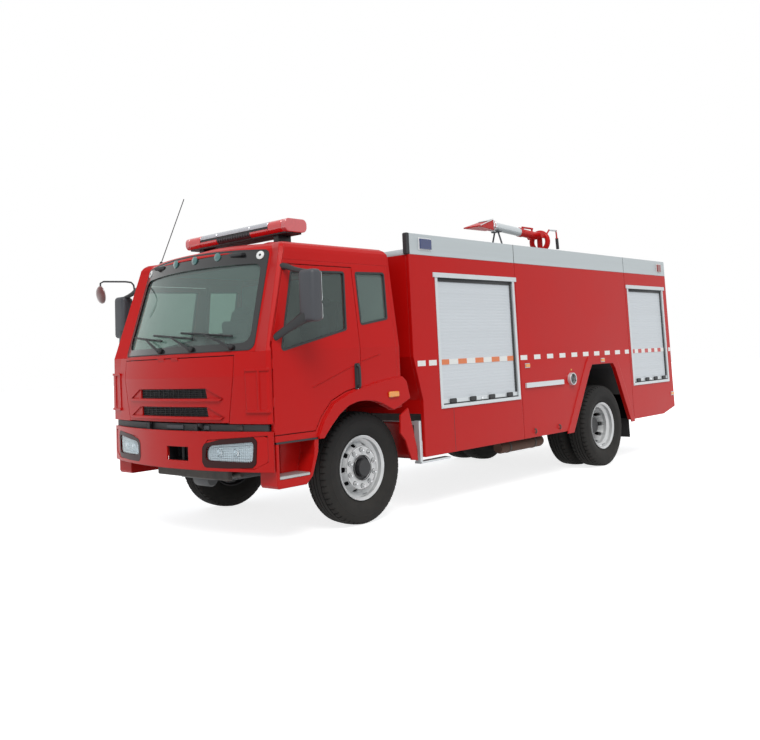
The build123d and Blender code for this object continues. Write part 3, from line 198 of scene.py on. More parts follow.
def bumper_paint(colour):
    """Red front skin of the bumper, with painted shade from a little way behind its bowed front."""
    m = material("bumper_paint", colour, rough=0.34, coat=0.07, spec=0.16, vary=0.05, scale=1.6, bump=0.02,
                 bump_scale=700, dust=0.05, round_edge=0.012)
    tree = m.node_tree
    parts = add_node(tree, "SeparateXYZ", {"Vector": place_output(m)}).outputs
    square = math_node(tree, "MULTIPLY", parts["X"], parts["X"])
    bow = math_node(tree, "MULTIPLY_ADD", square, -0.214 / 1.24 ** 2, -(FRONT_AXLE - 1.430))
    # More than 24 mm behind the front skin: painted shade in the gap, the tow pocket and the bumper's inside.
    deep = math_node(tree, "GREATER_THAN", math_node(tree, "ADD", parts["Y"], bow), 0.024)
    painted_over(m, False, deep, (0.014, 0.014, 0.015, 1))
    return m


RED = material("paint_red", (192, 13, 11), rough=0.36, coat=0.07, spec=0.16, vary=0.05, scale=1.6, bump=0.02,
               bump_scale=700, dust=0.05, round_edge=0.012)
BUMPER_RED = bumper_paint((188, 13, 11))
BEZEL = material("lamp_bezel", (48, 12, 12), rough=0.42, coat=0.0, spec=0.2, vary=0.1, scale=10, bump=0.03)
SILVER = material("band_aluminium", (188, 195, 197), rough=0.40, metal=0.42, vary=0.06, scale=4,
                  stretch=(1, 0.15, 6), bump=0.05, bump_scale=60)
SHUTTER = material("shutter_aluminium", (204, 209, 213), rough=0.44, metal=0.30, vary=0.07, scale=3,
                   stretch=(1, 0.1, 4), bump=0.04, bump_scale=80, dust=0.1)
FRAME_ALU = material("frame_aluminium", (208, 213, 215), rough=0.36, metal=0.4, vary=0.05, scale=6, bump=0.03,
                     bump_scale=150)
TREAD_PLATE = material("tread_aluminium", (176, 178, 178), rough=0.38, metal=0.6, vary=0.1, scale=20,
                       bump=0.6, bump_scale=90)
TYRE = material("tyre_rubber", (33, 33, 33), rough=0.85, vary=0.18, scale=12, bump=0.25, bump_scale=260,
                dust=0.07, spec=0.3)
BLACK = material("black_plastic", (34, 35, 37), rough=0.55, vary=0.12, scale=12, bump=0.18, bump_scale=900)
BLACK_GLOSS = material("black_gloss", (22, 23, 25), rough=0.22, coat=0.4, vary=0.08, scale=5, bump=0.01)
GREY_SHELL = material("mirror_grey", (64, 66, 71), rough=0.5, vary=0.08, scale=8, bump=0.16, bump_scale=900)
FRAME_DARK = material("frame_dark", (48, 48, 50), rough=0.7, vary=0.2, scale=8, bump=0.25, bump_scale=120,
                      dust=0.5)
ENGINE = material("engine_iron", (84, 88, 92), rough=0.62, metal=0.4, vary=0.25, scale=14, bump=0.4,
                  bump_scale=90, dust=0.3)
TANK = material("tank_plastic", (185, 188, 190), rough=0.5, vary=0.05, scale=4, bump=0.05)
CABIN = material("cabin_plastic", (66, 68, 70), rough=0.65, vary=0.08, scale=8, bump=0.25, bump_scale=800)
CABIN_FLOOR = material("cabin_mat", (52, 52, 54), rough=0.85, vary=0.15, scale=20, bump=0.5, bump_scale=400)
LINING = material("cabin_lining", (172, 172, 166), rough=0.9, vary=0.06, scale=10, bump=0.3, bump_scale=700)
CHROME = material("chrome", (214, 216, 218), rough=0.12, metal=1.0, vary=0.05, scale=8)
MIRROR_GLASS = material("mirror_glass", (220, 224, 226), rough=0.03, metal=1.0, vary=0.01, scale=2)
TAPE_WHITE = material("tape_white", (236, 236, 232), rough=0.35, coat=0.3, vary=0.04, scale=30, bump=0.3,
                      bump_scale=500)
TAPE_ORANGE = material("tape_orange", (226, 120, 62), rough=0.35, coat=0.3, vary=0.05, scale=30, bump=0.3,
                       bump_scale=500)
TAPE_RED = material("tape_red", (196, 44, 40), rough=0.35, coat=0.3, vary=0.05, scale=30, bump=0.3,
                    bump_scale=500)
LENS_RED = material("lens_red", (140, 16, 20), rough=0.12, coat=0.8, vary=0.25, scale=18, bump=0.5,
                    bump_scale=120)
LENS_BLUE = material("lens_blue", (18, 44, 104), rough=0.12, coat=0.8, vary=0.25, scale=40, bump=0.5,
                     bump_scale=160)
LENS_AMBER = material("lens_amber", (240, 150, 40), rough=0.15, coat=0.7, vary=0.15, scale=40, bump=0.5,
                      bump_scale=160)
LENS_GREEN = material("marker_glass", (62, 112, 110), rough=0.12, coat=0.8, vary=0.2, scale=30, bump=0.3,
                      bump_scale=160)
LENS_SILVER = material("bar_clear", (178, 180, 186), rough=0.18, metal=0.4, coat=0.6, vary=0.35, scale=26,
                       bump=0.6, bump_scale=70, stretch=(3, 1, 1))
LENS_RIB = material("lens_ribs", (236, 238, 240), rough=0.22, metal=0.35, coat=0.6, vary=0.22, scale=90)
WHITE = material("white_disc", (236, 236, 234), rough=0.4, vary=0.03, scale=10)
BRASS = material("brass_yellow", (214, 170, 60), rough=0.4, metal=0.3, vary=0.1, scale=30)
SCREEN_GLASS = glass("screen_glass", (200, 214, 208), 0.03, 1.5, 0.11)
SIDE_GLASS = glass("side_glass", (196, 206, 202), 0.03, 1.5, 0.05)
LAMP_GLASS = glass("lamp_glass", (236, 240, 242), 0.02, 1.35)
SEAT = material("seat_fabric", (96, 98, 104), rough=0.9, vary=0.2, scale=60, bump=0.8, bump_scale=900)
WHEEL_FRONT = wheel_paint("wheel_front", FRONT_AXLE, 0.1145, 0.930, (206, 208, 209))
WHEEL_REAR = wheel_paint("wheel_rear", FRONT_AXLE + WHEELBASE, 0.122, 0.800, (206, 208, 209))
PAINTED_SHADOW = material("deep_shadow", (12, 12, 13), rough=0.9, vary=0.1, scale=20, spec=0.1)
FLAP = material("flap_rubber", (22, 22, 23), rough=0.7, vary=0.12, scale=14, bump=0.2, bump_scale=500)
RUST = material("silencer_steel", (92, 66, 54), rough=0.7, metal=0.4, vary=0.35, scale=9, bump=0.4,
                bump_scale=110)
ROUND_LENS = material("round_mirror_back", (96, 26, 24), rough=0.25, coat=0.5, vary=0.1, scale=10, bump=0.02)
BAR_RED = material("bar_red", (214, 20, 26), rough=0.10, coat=0.9, vary=0.22, scale=30, bump=0.5,
                   bump_scale=90, stretch=(3, 1, 1))
BAR_CLEAR = material("bar_end_clear", (214, 92, 96), rough=0.12, coat=0.9, vary=0.12, scale=40, bump=0.4,
                     bump_scale=120)
FABRIC = material("seat_weave", (104, 107, 116), rough=0.95, vary=0.16, scale=90, bump=0.9, bump_scale=1100,
                  spec=0.2)
TRIM = material("seat_side_cloth", (58, 60, 66), rough=0.9, vary=0.14, scale=70, bump=0.8, bump_scale=1000,
                spec=0.2)


# Mesh helpers


class Mesh:
    """Collects faces with materials, then becomes one piece."""

    def __init__(self):
        self.verts, self.faces, self.slots, self.mats = [], [], [], []

    def add(self, verts, faces, mat):
        if mat not in self.mats:
            self.mats.append(mat)
        start = len(self.verts)
        self.verts += [tuple(v) for v in verts]
        self.faces += [tuple(start + i for i in f) for f in faces]
        self.slots += [self.mats.index(mat)] * len(faces)

    def prism(self, low, high, mat):
        """Solid between two like rings of points."""
        n = len(low)
        faces = [tuple(range(n))[::-1], tuple(range(n, 2 * n))]
        faces += [(i, (i + 1) % n, n + (i + 1) % n, n + i) for i in range(n)]
        self.add(list(low) + list(high), faces, mat)

    def box(self, x, d, z, mat, cut=0.0):
        """Box with chamfered vertical and level edges, from ranges of x, distance and height."""
        (x0, x1), (d0, d1), (z0, z1) = x, d, z
        c = min(cut, (x1 - x0) / 3, (d1 - d0) / 3, (z1 - z0) / 3)
        if c <= 0:
            low = [P(x0, d0, z0), P(x1, d0, z0), P(x1, d1, z0), P(x0, d1, z0)]
            high = [P(x0, d0, z1), P(x1, d0, z1), P(x1, d1, z1), P(x0, d1, z1)]
            self.prism(low, high, mat)
            return

        def ring(shrink, z):
            a0, a1, b0, b1 = x0 + shrink, x1 - shrink, d0 + shrink, d1 - shrink
            return [P(a0 + c, b0, z), P(a1 - c, b0, z), P(a1, b0 + c, z), P(a1, b1 - c, z), P(a1 - c, b1, z),
                    P(a0 + c, b1, z), P(a0, b1 - c, z), P(a0, b0 + c, z)]

        self.stack([ring(c * 0.8, z0), ring(0, z0 + c), ring(0, z1 - c), ring(c * 0.8, z1)], mat)

    def stack(self, rings, mat, caps=True, closed=True):
        """Skin through like rings of points, with caps."""
        n = len(rings[0])
        verts = [p for ring in rings for p in ring]
        faces = []
        for k in range(len(rings) - 1):
            for i in range(n if closed else n - 1):
                j = (i + 1) % n
                faces.append((k * n + i, k * n + j, (k + 1) * n + j, (k + 1) * n + i))
        if caps:
            faces.append(tuple(range(n))[::-1])
            faces.append(tuple(range((len(rings) - 1) * n, len(rings) * n)))
        self.add(verts, faces, mat)

    def lathe(self, profile, centre, axis, mat, count=48, closed=False, caps=False):
        """Surface of revolution of (along, radius) points."""
        axis = Vector(axis).normalized()
        side = axis.orthogonal().normalized()
        up = axis.cross(side)
        rings = []
        for step in range(count):
            angle = 2 * math.pi * step / count
            out = side * math.cos(angle) + up * math.sin(angle)
            rings.append([centre + axis * a + out * r for a, r in profile])
        n = len(profile)
        verts = [p for ring in rings for p in ring]
        faces = []
        for k in range(count):
            following = (k + 1) % count
            for i in range(n if closed else n - 1):
                j = (i + 1) % n
                faces.append((k * n + i, k * n + j, following * n + j, following * n + i))
        if caps:
            faces.append(tuple(k * n for k in range(count)))
            faces.append(tuple(k * n + n - 1 for k in range(count))[::-1])
        self.add(verts, faces, mat)

    def tube(self, points, radius, mat, count=12, caps=True):
        """Round bar along a path; radius may be a list."""
        radii = radius if isinstance(radius, (list, tuple)) else [radius] * len(points)
        rings = []
        last = None
        for i, p in enumerate(points):
            before = points[max(0, i - 1)]
            after = points[min(len(points) - 1, i + 1)]
            along = (Vector(after) - Vector(before)).normalized()
            if last is None:
                side = along.orthogonal().normalized()
            else:
                side = (last - along * last.dot(along)).normalized()
            last = side
            up = along.cross(side)
            rings.append([Vector(p) + (side * math.cos(t) + up * math.sin(t)) * radii[i]
                          for t in (2 * math.pi * k / count for k in range(count))])
        self.stack(rings, mat, caps)

    def make(self, name, body, bevel=0.0, smooth=35.0, replaces=()):
        mesh = bpy.data.meshes.new(name)
        mesh.from_pydata(self.verts, [], self.faces)
        for m in self.mats:
            mesh.materials.append(m)
        mesh.polygons.foreach_set("material_index", self.slots)
        mesh.polygons.foreach_set("use_smooth", [True] * len(self.faces))
        mesh.update()
        mesh.validate()
        obj = bpy.data.objects.new(name, mesh)
        bpy.context.scene.collection.objects.link(obj)
        face_outwards(mesh)
        mesh.set_sharp_from_angle(angle=math.radians(smooth))
        if bevel:
            mod = obj.modifiers.new("edges", "BEVEL")
            mod.width = bevel
            mod.segments = 2
            mod.limit_method = "ANGLE"
            mod.angle_limit = math.radians(40)
        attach(obj, body)
        if replaces:
            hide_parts(*replaces)
        return obj


def face_outwards(mesh):
    """Turns all faces outwards."""
    work = bmesh.new()
    work.from_mesh(mesh)
    bmesh.ops.recalc_face_normals(work, faces=work.faces)
    work.to_mesh(mesh)
    work.free()


def rounded(points, radius, inset=0.0, steps=6):
    """Polygon of (a, b) points with rounded corners, moved in by the inset."""
    area = sum(p[0] * q[1] - q[0] * p[1] for p, q in zip(points, points[1:] + points[:1]))
    pts = points if area > 0 else points[::-1]
    n = len(pts)
    out = []
    lines = []
    for i in range(n):
        a, b = Vector(pts[i]), Vector(pts[(i + 1) % n])
        along = (b - a).normalized()
        normal = Vector((-along.y, along.x))
        lines.append((a + normal * inset, along))
    corners = []
    for i in range(n):
        (p, u), (q, v) = lines[i - 1], lines[i]
        cross = u.x * v.y - u.y * v.x
        t = ((q.x - p.x) * v.y - (q.y - p.y) * v.x) / cross
        corners.append(p + u * t)
    r = max(0.001, radius - inset)
    for i in range(n):
        c = corners[i]
        a = (corners[i - 1] - c).normalized()
        b = (corners[(i + 1) % n] - c).normalized()
        half = math.acos(max(-1, min(1, a.dot(b)))) / 2
        reach = r / math.tan(half)
        centre = c + (a + b).normalized() * (r / math.sin(half))
        start, end = c + a * reach, c + b * reach
        first = math.atan2(start.y - centre.y, start.x - centre.x)
        sweep = math.atan2(end.y - centre.y, end.x - centre.x) - first
        while sweep > math.pi:
            sweep -= 2 * math.pi
        while sweep < -math.pi:
            sweep += 2 * math.pi
        for k in range(steps + 1):
            angle = first + sweep * k / steps
            out.append((centre.x + r * math.cos(angle), centre.y + r * math.sin(angle)))
    return out


def ring_band(mesh, outer, inner, place, depth, mat):
    """Flat band between two outlines of like points, placed by a function and as deep as given."""
    n = len(outer)
    front_out = [place(*p, 0) for p in outer]
    front_in = [place(*p, 0) for p in inner]
    back_out = [place(*p, depth) for p in outer]
    back_in = [place(*p, depth) for p in inner]
    verts = front_out + front_in + back_out + back_in
    faces = []
    for i in range(n):
        j = (i + 1) % n
        faces += [(i, j, n + j, n + i), (2 * n + i, 3 * n + i, 3 * n + j, 2 * n + j),
                  (i, 2 * n + i, 2 * n + j, j), (n + i, n + j, 3 * n + j, 3 * n + i)]
    mesh.add(verts, faces, mat)


def side_x(z):
    """Outer half width of the cab's side at a height."""
    return 1.240 - 0.109 * max(0, z - BELT)


EAVE = 2.538
LOWER = [(0.885, -1.362, -1.275), (1.450, -1.414, -1.288), (BELT, -1.398, -1.268)]


def front_d(x, z):
    """Distance of the cab's front surface at a place across and up."""
    over = 0.0
    if z > EAVE:
        rise = min(z - EAVE, 0.088)
        over = 0.095 - math.sqrt(0.095 ** 2 - rise * rise)
        z = EAVE
    if z >= BELT:
        rise = z - BELT
        nose, edge, half = -1.380 + 0.30 * rise, -1.210 + 0.30 * rise, 1.030 - 0.045 * rise
    else:
        k = 0 if z < 1.450 else 1
        (z0, n0, e0), (z1, n1, e1) = LOWER[k], LOWER[k + 1]
        t = (z - z0) / (z1 - z0)
        nose, edge, half = n0 + (n1 - n0) * t, e0 + (e1 - e0) * t, 1.030
    sag = edge - nose
    radius = (half * half + sag * sag) / (2 * sag)
    return nose + over + radius - math.sqrt(max(0, radius * radius - x * x))


def inward(x, z):
    """Direction into the cab's front surface at a place."""
    slope = (front_d(x + 0.01, z) - front_d(x - 0.01, z)) / 0.02
    up = (front_d(x, z + 0.01) - front_d(x, z - 0.01)) / 0.02
    return Vector((-slope, 1, -up)).normalized()


# Materials of the CAD nodes


NODE_MATERIALS = {
    RED: ["cab_front", "cab_side_left", "cab_side_right", "cab_rear_wall", "cab_roof", "door_left",
          "door_right", "front_lid", "body_side_left", "body_side_right", "body_front_wall", "body_rear_wall",
          "monitor_barrel", "monitor_swivel", "entry_steps", "front_mudguards"],
    BUMPER_RED: ["front_bumper"],
    BEZEL: ["headlamps"],
    SILVER: ["top_rails"],
    TREAD_PLATE: ["body_roof"],
    SHUTTER: ["roller_shutters"],
    FRAME_ALU: ["shutter_frames", "side_fittings", "rear_ladder", "fuel_tank"],
    FRAME_DARK: ["chassis_frame", "front_axle", "rear_axle", "propeller_shaft", "knuckle_left",
                 "knuckle_right", "body_floor"],
    ENGINE: ["engine_block"],
    BLACK: ["aerial"],
    FLAP: ["mud_flaps"],
    TANK: ["water_tank"],
    CABIN: ["dashboard"],
    CABIN_FLOOR: ["cab_floor"],
    SEAT: ["seats"],
    SCREEN_GLASS: ["cab_windows"],
    SIDE_GLASS: ["door_glass_left", "door_glass_right"],
    LAMP_GLASS: ["headlamp_lenses"],
    LENS_RED: ["lamps_red", "light_bar"],
    LENS_BLUE: ["lamps_blue"],
    LENS_AMBER: ["lamps_amber"],
    GREY_SHELL: ["monitor_base", "mirror_left", "mirror_right"],
    WHEEL_FRONT: ["front_wheel_left", "front_wheel_right"],
    WHEEL_REAR: ["rear_wheels_left", "rear_wheels_right"],
    TYRE: ["front_tyre_left", "front_tyre_right", "rear_tyres_left", "rear_tyres_right"],
}
for mat, names in NODE_MATERIALS.items():
    for name in names:
        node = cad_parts[name]
        for slot in node.material_slots:
            slot.material = mat

# Tyres with ribs, shoulder notches and moulded sidewalls

HALF_TYRE = [
    (0.0920, 0.2866), (0.0945, 0.3020), (0.1020, 0.3100), (0.1030, 0.3130), (0.1150, 0.3300),
    (0.1255, 0.3500),
    (0.1325, 0.3700), (0.1335, 0.3715), (0.1372, 0.3900), (0.1388, 0.4090), (0.1386, 0.4240),
    (0.1372, 0.4380),
    (0.1384, 0.4400), (0.1384, 0.4440), (0.1362, 0.4460), (0.1325, 0.4640), (0.1262, 0.4830),
    (0.1185, 0.4980),
    (0.1120, 0.5090), (0.1060, 0.5160), (0.0980, 0.5195), (0.0700, 0.5225), (0.0690, 0.5100),
    (0.0600, 0.5105),
    (0.0590, 0.5238), (0.0240, 0.5258), (0.0230, 0.5130), (0.0150, 0.5132), (0.0140, 0.5264),
]
NOTCHED = {18, 19, 20, 21}


def tyre(mesh, x, d):
    """One tyre round the axle at x, d."""
    profile = HALF_TYRE + [(-w, r) for w, r in reversed(HALF_TYRE)]
    flags = [i in NOTCHED for i in range(len(HALF_TYRE))]
    flags = flags + flags[::-1]
    pitches = 54
    rings = []
    for pitch in range(pitches):
        for part, deep in ((0.0, 0), (0.74, 0), (0.78, 1), (0.96, 1)):
            angle = 2 * math.pi * (pitch + part) / pitches
            shift = 0.5 * 2 * math.pi / pitches
            ring = []
            for (w, r), flag in zip(profile, flags):
                a = angle + (shift if w < 0 else 0)
                depth = 0.011 * deep * flag
                ring.append(P(x + w, d + (r - depth) * math.cos(a), AXLE_Z + (r - depth) * math.sin(a)))
            rings.append(ring)
    rings.append(rings[0])
    mesh.stack(rings, TYRE, caps=False, closed=False)


for side, sign in SIDES:
    m = Mesh()
    tyre(m, sign * FRONT_WHEEL_X, 0)
    m.make(f"front_tyre_skin_{side}", f"front_wheel_{side}", smooth=30, replaces=(f"front_tyre_{side}",))
    m = Mesh()
    tyre(m, sign * REAR_OUTER_X, WHEELBASE)
    tyre(m, sign * REAR_INNER_X, WHEELBASE)
    m.make(f"rear_tyre_skins_{side}", f"rear_wheel_{side}", smooth=30, replaces=(f"rear_tyres_{side}",))

# Reflective tape

TAPE_LOW, TAPE_HIGH = 1.448, 1.503
tape = Mesh()


def tape_run(start, end, x, first, second, length, gap_length):
    """Row of tape pieces on both sides, in one or two colours."""
    d = start
    turn = 0
    while d < end - 0.02:
        stop = min(d + (length if turn % 2 == 0 else gap_length), end)
        colour = first if turn % 2 == 0 else second
        if colour:
            for sign in (1, -1):
                tape.box(across(sign, (x - 0.002), (x + 0.0012)), (d, stop), (TAPE_LOW, TAPE_HIGH), colour)
        d = stop
        turn += 1


tape_run(0.700, 1.010, 1.250, TAPE_WHITE, None, 0.125, 0.055)
tape_run(1.090, 2.474, 1.228, TAPE_ORANGE, TAPE_WHITE, 0.154, 0.154)
tape_run(2.565, 5.290, 1.250, TAPE_WHITE, None, 0.140, 0.150)
tape_run(5.412, 6.484, 1.228, TAPE_RED, TAPE_WHITE, 0.105, 0.105)
tape_run(6.575, 6.640, 1.250, TAPE_WHITE, TAPE_RED, 0.065, 0.065)
tape.make("reflective_tape", "chassis")

# Window rubbers

DOOR_WINDOW = [(-1.095, 1.645), (-0.268, 1.825), (-0.212, 2.372), (-0.885, 2.358)]
QUARTER_WINDOW = [(-0.070, 1.868), (0.318, 1.925), (0.352, 2.385), (-0.062, 2.375)]
for side, sign in SIDES:
    for name, outline, radius, body in (("door", DOOR_WINDOW, 0.026, f"door_{side}"),
                                        ("quarter", QUARTER_WINDOW, 0.026, "cab")):
        m = Mesh()

        def on_side(d, z, depth, sign=sign):
            return P(sign * (side_x(z) + 0.003 - depth), d, z)

        ring_band(m, rounded(outline, radius, -0.005), rounded(outline, radius, 0.014), on_side, 0.014, BLACK)
        m.make(f"{name}_window_rubber_{side}", body, bevel=0.0015)

# Windscreen: rubber, printed border and the dark band at the top


def on_front(x, z, depth):
    return P(x, front_d(x, z) - 0.004 + depth, z)


def arched(half_low, low, half_high, edge_high, middle_high):
    """Outline of the windscreen with a bowed top, for rounding."""
    top = [(half_high * k, edge_high + (middle_high - edge_high) * (1 - k * k)) for k in (1, 0.67, 0.34, 0,
                                                                                          -0.34, -0.67, -1)]
    return [(-half_low, low), (half_low, low)] + top


def paired(outer, inner, step=0.08):
    """Two outlines with matching extra points."""
    a, b = [], []
    n = len(outer)
    for i in range(n):
        j = (i + 1) % n
        count = max(1, int(math.dist(outer[i], outer[j]) / step))
        for k in range(count):
            t = k / count
            a.append(tuple(outer[i][c] + (outer[j][c] - outer[i][c]) * t for c in (0, 1)))
            b.append(tuple(inner[i][c] + (inner[j][c] - inner[i][c]) * t for c in (0, 1)))
    return a, b


m = Mesh()
outer, inner = paired(rounded(arched(1.018, 1.668, 0.968, 2.566, 2.612), 0.06),
                      rounded(arched(1.008, 1.678, 0.958, 2.556, 2.602), 0.06))
ring_band(m, outer, inner, on_front, 0.016, BLACK)
outer, inner = paired(rounded(arched(1.009, 1.677, 0.959, 2.557, 2.603), 0.06),
                      rounded(arched(0.962, 1.735, 0.912, 2.444, 2.462), 0.08))
ring_band(m, outer, inner, lambda x, z, depth: P(x, front_d(x, z) - 0.002 + depth, z), 0.012, BLACK_GLOSS)
m.make("screen_border", "cab")

m = Mesh()
for x in (-0.265, 0.062, 0.388):
    z = 2.550
    m.lathe([(0.004, 0.040), (-0.006, 0.039), (-0.012, 0.031), (-0.015, 0.0)],
            P(x, front_d(x, z) - 0.004, z), inward(x, z), LENS_GREEN, 20)
for x in (-0.60, 0.63):
    z = 2.548
    d = front_d(x, z)
    m.box((x - 0.085, x + 0.085), (d - 0.030, d + 0.02), (z - 0.016, z + 0.014), BLACK, 0.006)
for x in (-0.885, 0.885):
    z = 2.520
    place, axis = P(x, front_d(x, z) - 0.006, z), inward(x, z)
    m.lathe([(0.006, 0.040), (-0.004, 0.040), (-0.006, 0.036), (-0.006, 0.0)], place, axis, WHITE, 28)
    m.lathe([(-0.006, 0.012), (-0.0075, 0.011), (-0.0075, 0.0)], place, axis, BLACK, 16)
m.make("screen_top_fittings", "cab")

# Wipers

m = Mesh()
for x in (-0.170, 0.310, 0.790):
    base = P(x, front_d(x, 1.700) - 0.006, 1.702)
    m.lathe([(0.012, 0.0), (0.010, 0.022), (-0.012, 0.028), (-0.032, 0.020), (-0.034, 0.0)], base,
            (0, 1, -0.3), BLACK, 20)
    tip_x = x - 0.34
    tip = P(tip_x, front_d(tip_x, 1.835) - 0.034, 1.835)
    knee = P(x - 0.11, front_d(x - 0.11, 1.755) - 0.050, 1.760)
    m.tube([base + Vector((0, -0.024, 0)), knee, tip], [0.015, 0.012, 0.008], BLACK, 8)
    ends = []
    for k in range(7):
        bx = tip_x + 0.33 * (k / 3 - 1)
        bz = 1.830 - 0.030 * (k / 3 - 1)
        ends.append(P(bx, front_d(bx, bz) - 0.012, bz))
    m.tube(ends, 0.010, BLACK, 8)
    m.tube([p + Vector((0, -0.016, 0.005)) for p in ends[1:6]], 0.007, BLACK, 6)
m.make("wiper_set", "cab", replaces=("wipers",))

# Front: dark slats behind the intake slots, the gap above the bumper

m = Mesh()
for low, high in ((1.262, 1.350), (1.100, 1.187)):
    for k in range(5):
        z = low + (high - low) * (k + 0.5) / 5
        pts = []
        for t in range(25):
            x = -0.53 + 1.06 * t / 24
            pts.append((x, front_d(x, z)))
        front = [P(x, d + 0.022, z - 0.003) for x, d in pts]
        back = [P(x, d + 0.040, z + 0.004) for x, d in reversed(pts)]
        m.prism(front + back, [p + Vector((0, 0, 0.004)) for p in front + back], BLACK)
    for t in range(14):
        x = -0.52 + 1.04 * t / 13
        d = front_d(x, low)
        m.box((x - 0.002, x + 0.002), (d + 0.024, d + 0.040), (low - 0.002, high + 0.002), BLACK)
    back = []
    for z in (low - 0.02, high + 0.02):
        back.append([P(-0.56 + 1.12 * t / 24, front_d(-0.56 + 1.12 * t / 24, z) + 0.044,
                       z) for t in range(25)])
    ring = back[0] + back[1][::-1]
    m.prism(ring, [p + Vector((0, 0.004, 0)) for p in ring], BLACK)
m.make("intake_slats", "front_lid")

# Black strip in the gap above the bumper: painted shade in the gap, with grey and dark blocks for parts seen
# in it.
m = Mesh()
pts = [(-1.19 + 2.38 * t / 30) for t in range(31)]
front = [P(x, -1.352 + 0.10 * (x / 1.03) ** 2, 0.979) for x in pts]
back = [P(x, -1.335 + 0.10 * (x / 1.03) ** 2, 0.979) for x in reversed(pts)]
m.prism(front + back, [p + Vector((0, 0, 0.055)) for p in front + back], BLACK)
for low, high, mat in ((-0.10, 0.16, GREY_SHELL), (0.44, 0.52, GREY_SHELL), (0.60, 0.92, FRAME_DARK)):
    d = -1.352 + 0.10 * (max(abs(low), abs(high)) / 1.03) ** 2
    m.box((low, high), (d - 0.012, d + 0.01), (0.984, 1.026), mat, 0.004)
m.make("bumper_gap_strip", "chassis")

# Headlamps: red surround in the opening, dark bezel, faceted reflector and a clear cover


def by_angle(outline, centre, count=96):
    """Points where rays from the centre meet the outline, so that two outlines match."""
    out = []
    for k in range(count):
        ux, uz = math.cos(2 * math.pi * k / count), math.sin(2 * math.pi * k / count)
        best = 0.0
        for (ax, az), (bx, bz) in zip(outline, outline[1:] + outline[:1]):
            ex, ez = bx - ax, bz - az
            cross = ux * ez - uz * ex
            if abs(cross) < 1e-12:
                continue
            t = ((ax - centre[0]) * ez - (az - centre[1]) * ex) / cross
            along = ((ax - centre[0]) * uz - (az - centre[1]) * ux) / cross
            if t > 0 and -1e-9 <= along <= 1 + 1e-9:
                best = max(best, t)
        out.append((centre[0] + ux * best, centre[1] + uz * best))
    return out


def extent(outline, x):
    """Lowest and highest height of an outline at x."""
    hits = []
    for (ax, az), (bx, bz) in zip(outline, outline[1:] + outline[:1]):
        if (ax - x) * (bx - x) <= 0 and ax != bx:
            hits.append(az + (bz - az) * (x - ax) / (bx - ax))
    return min(hits), max(hits)


OPENING = [(0.520, 0.685), (1.060, 0.665), (1.190, 0.725), (1.190, 0.945), (0.560, 0.905), (0.500, 0.835)]
LAMP_OUTER = [(0.495, 0.835), (0.523, 0.874), (0.706, 0.911), (1.052, 0.936), (1.089, 0.903), (1.077, 0.712),
              (1.042, 0.678), (0.786, 0.667), (0.522, 0.668), (0.492, 0.714)]
LAMP_LENS = [(0.545, 0.836), (0.589, 0.858), (1.041, 0.894), (1.056, 0.874), (1.045, 0.736), (1.005, 0.719),
             (0.561, 0.725), (0.533, 0.750)]
m = Mesh()
for sign in (1, -1):
    def on_arc(x, z, depth, sign=sign):
        return P(sign * x, -1.430 + 0.214 * (x / 1.24) ** 2 + depth, z)

    centre = (0.80, 0.795)
    opening = by_angle(rounded(OPENING, 0.004, 0.0015), centre)
    outer = by_angle(rounded(LAMP_OUTER, 0.016), centre)
    lens = by_angle(rounded(LAMP_LENS, 0.014), centre)
    ring_band(m, opening, lens, lambda x, z, depth: on_arc(x, z, depth + 0.003), 0.018, RED)
    ring_band(m, outer, lens, lambda x, z, depth: on_arc(x, z, depth - 0.003), 0.030, BEZEL)
    columns, rows = 24, 7
    low_x, high_x = min(p[0] for p in lens) + 0.001, max(p[0] for p in lens) - 0.001
    edges = [low_x + (high_x - low_x) * k / columns for k in range(columns + 1)]
    for x0, x1 in zip(edges, edges[1:]):
        (a0, b0), (a1, b1) = extent(lens, x0), extent(lens, x1)
        for row in range(rows):
            f0, f1 = row / rows, (row + 1) / rows
            ring = [on_arc(x0, a0 + (b0 - a0) * f0, 0.026), on_arc(x1, a1 + (b1 - a1) * f0, 0.026),
                    on_arc(x1, a1 + (b1 - a1) * f1, 0.026), on_arc(x0, a0 + (b0 - a0) * f1, 0.026)]
            peak = (ring[0] + ring[1] + ring[2] + ring[3]) / 4 - Vector((0, 0.007, 0))
            m.add(ring + [peak], [(0, 1, 4), (1, 2, 4), (2, 3, 4), (3, 0, 4)], LENS_RIB)
        cover = [on_arc(x0, a0, 0.006), on_arc(x1, a1, 0.006), on_arc(x1, b1, 0.006), on_arc(x0, b0, 0.006)]
        m.prism(cover, [q + Vector((0, 0.003, 0)) for q in cover], LAMP_GLASS)
    for x in (0.68, 0.86):
        m.lathe([(0.012, 0.0), (0.006, 0.030), (-0.004, 0.036), (-0.006, 0.030), (0.004, 0.012),
                 (0.004, 0.0)], on_arc(x, 0.800, 0.018), (0, 1, 0), CHROME, 24)
m.make("headlamp_set", "chassis", smooth=20, replaces=("headlamps", "headlamp_lenses"))

# Entry steps: tread plates, the fold of the back panel, the gap under the sill

m = Mesh()
for sign in (1, -1):
    m.box(across(sign, 1.054, 1.236), (-1.148, -0.802), (0.571, 0.598), TREAD_PLATE, 0.005)
    m.box(across(sign, 1.0505, 1.062), (-0.990, -0.974), (0.600, 0.862), RED, 0.003)
    # Black strip under the sill: painted shade in the gap.
    m.box(across(sign, 1.022, 1.239), (-1.180, -0.700), (0.8685, 0.8835), BLACK)
m.make("step_treads", "chassis")
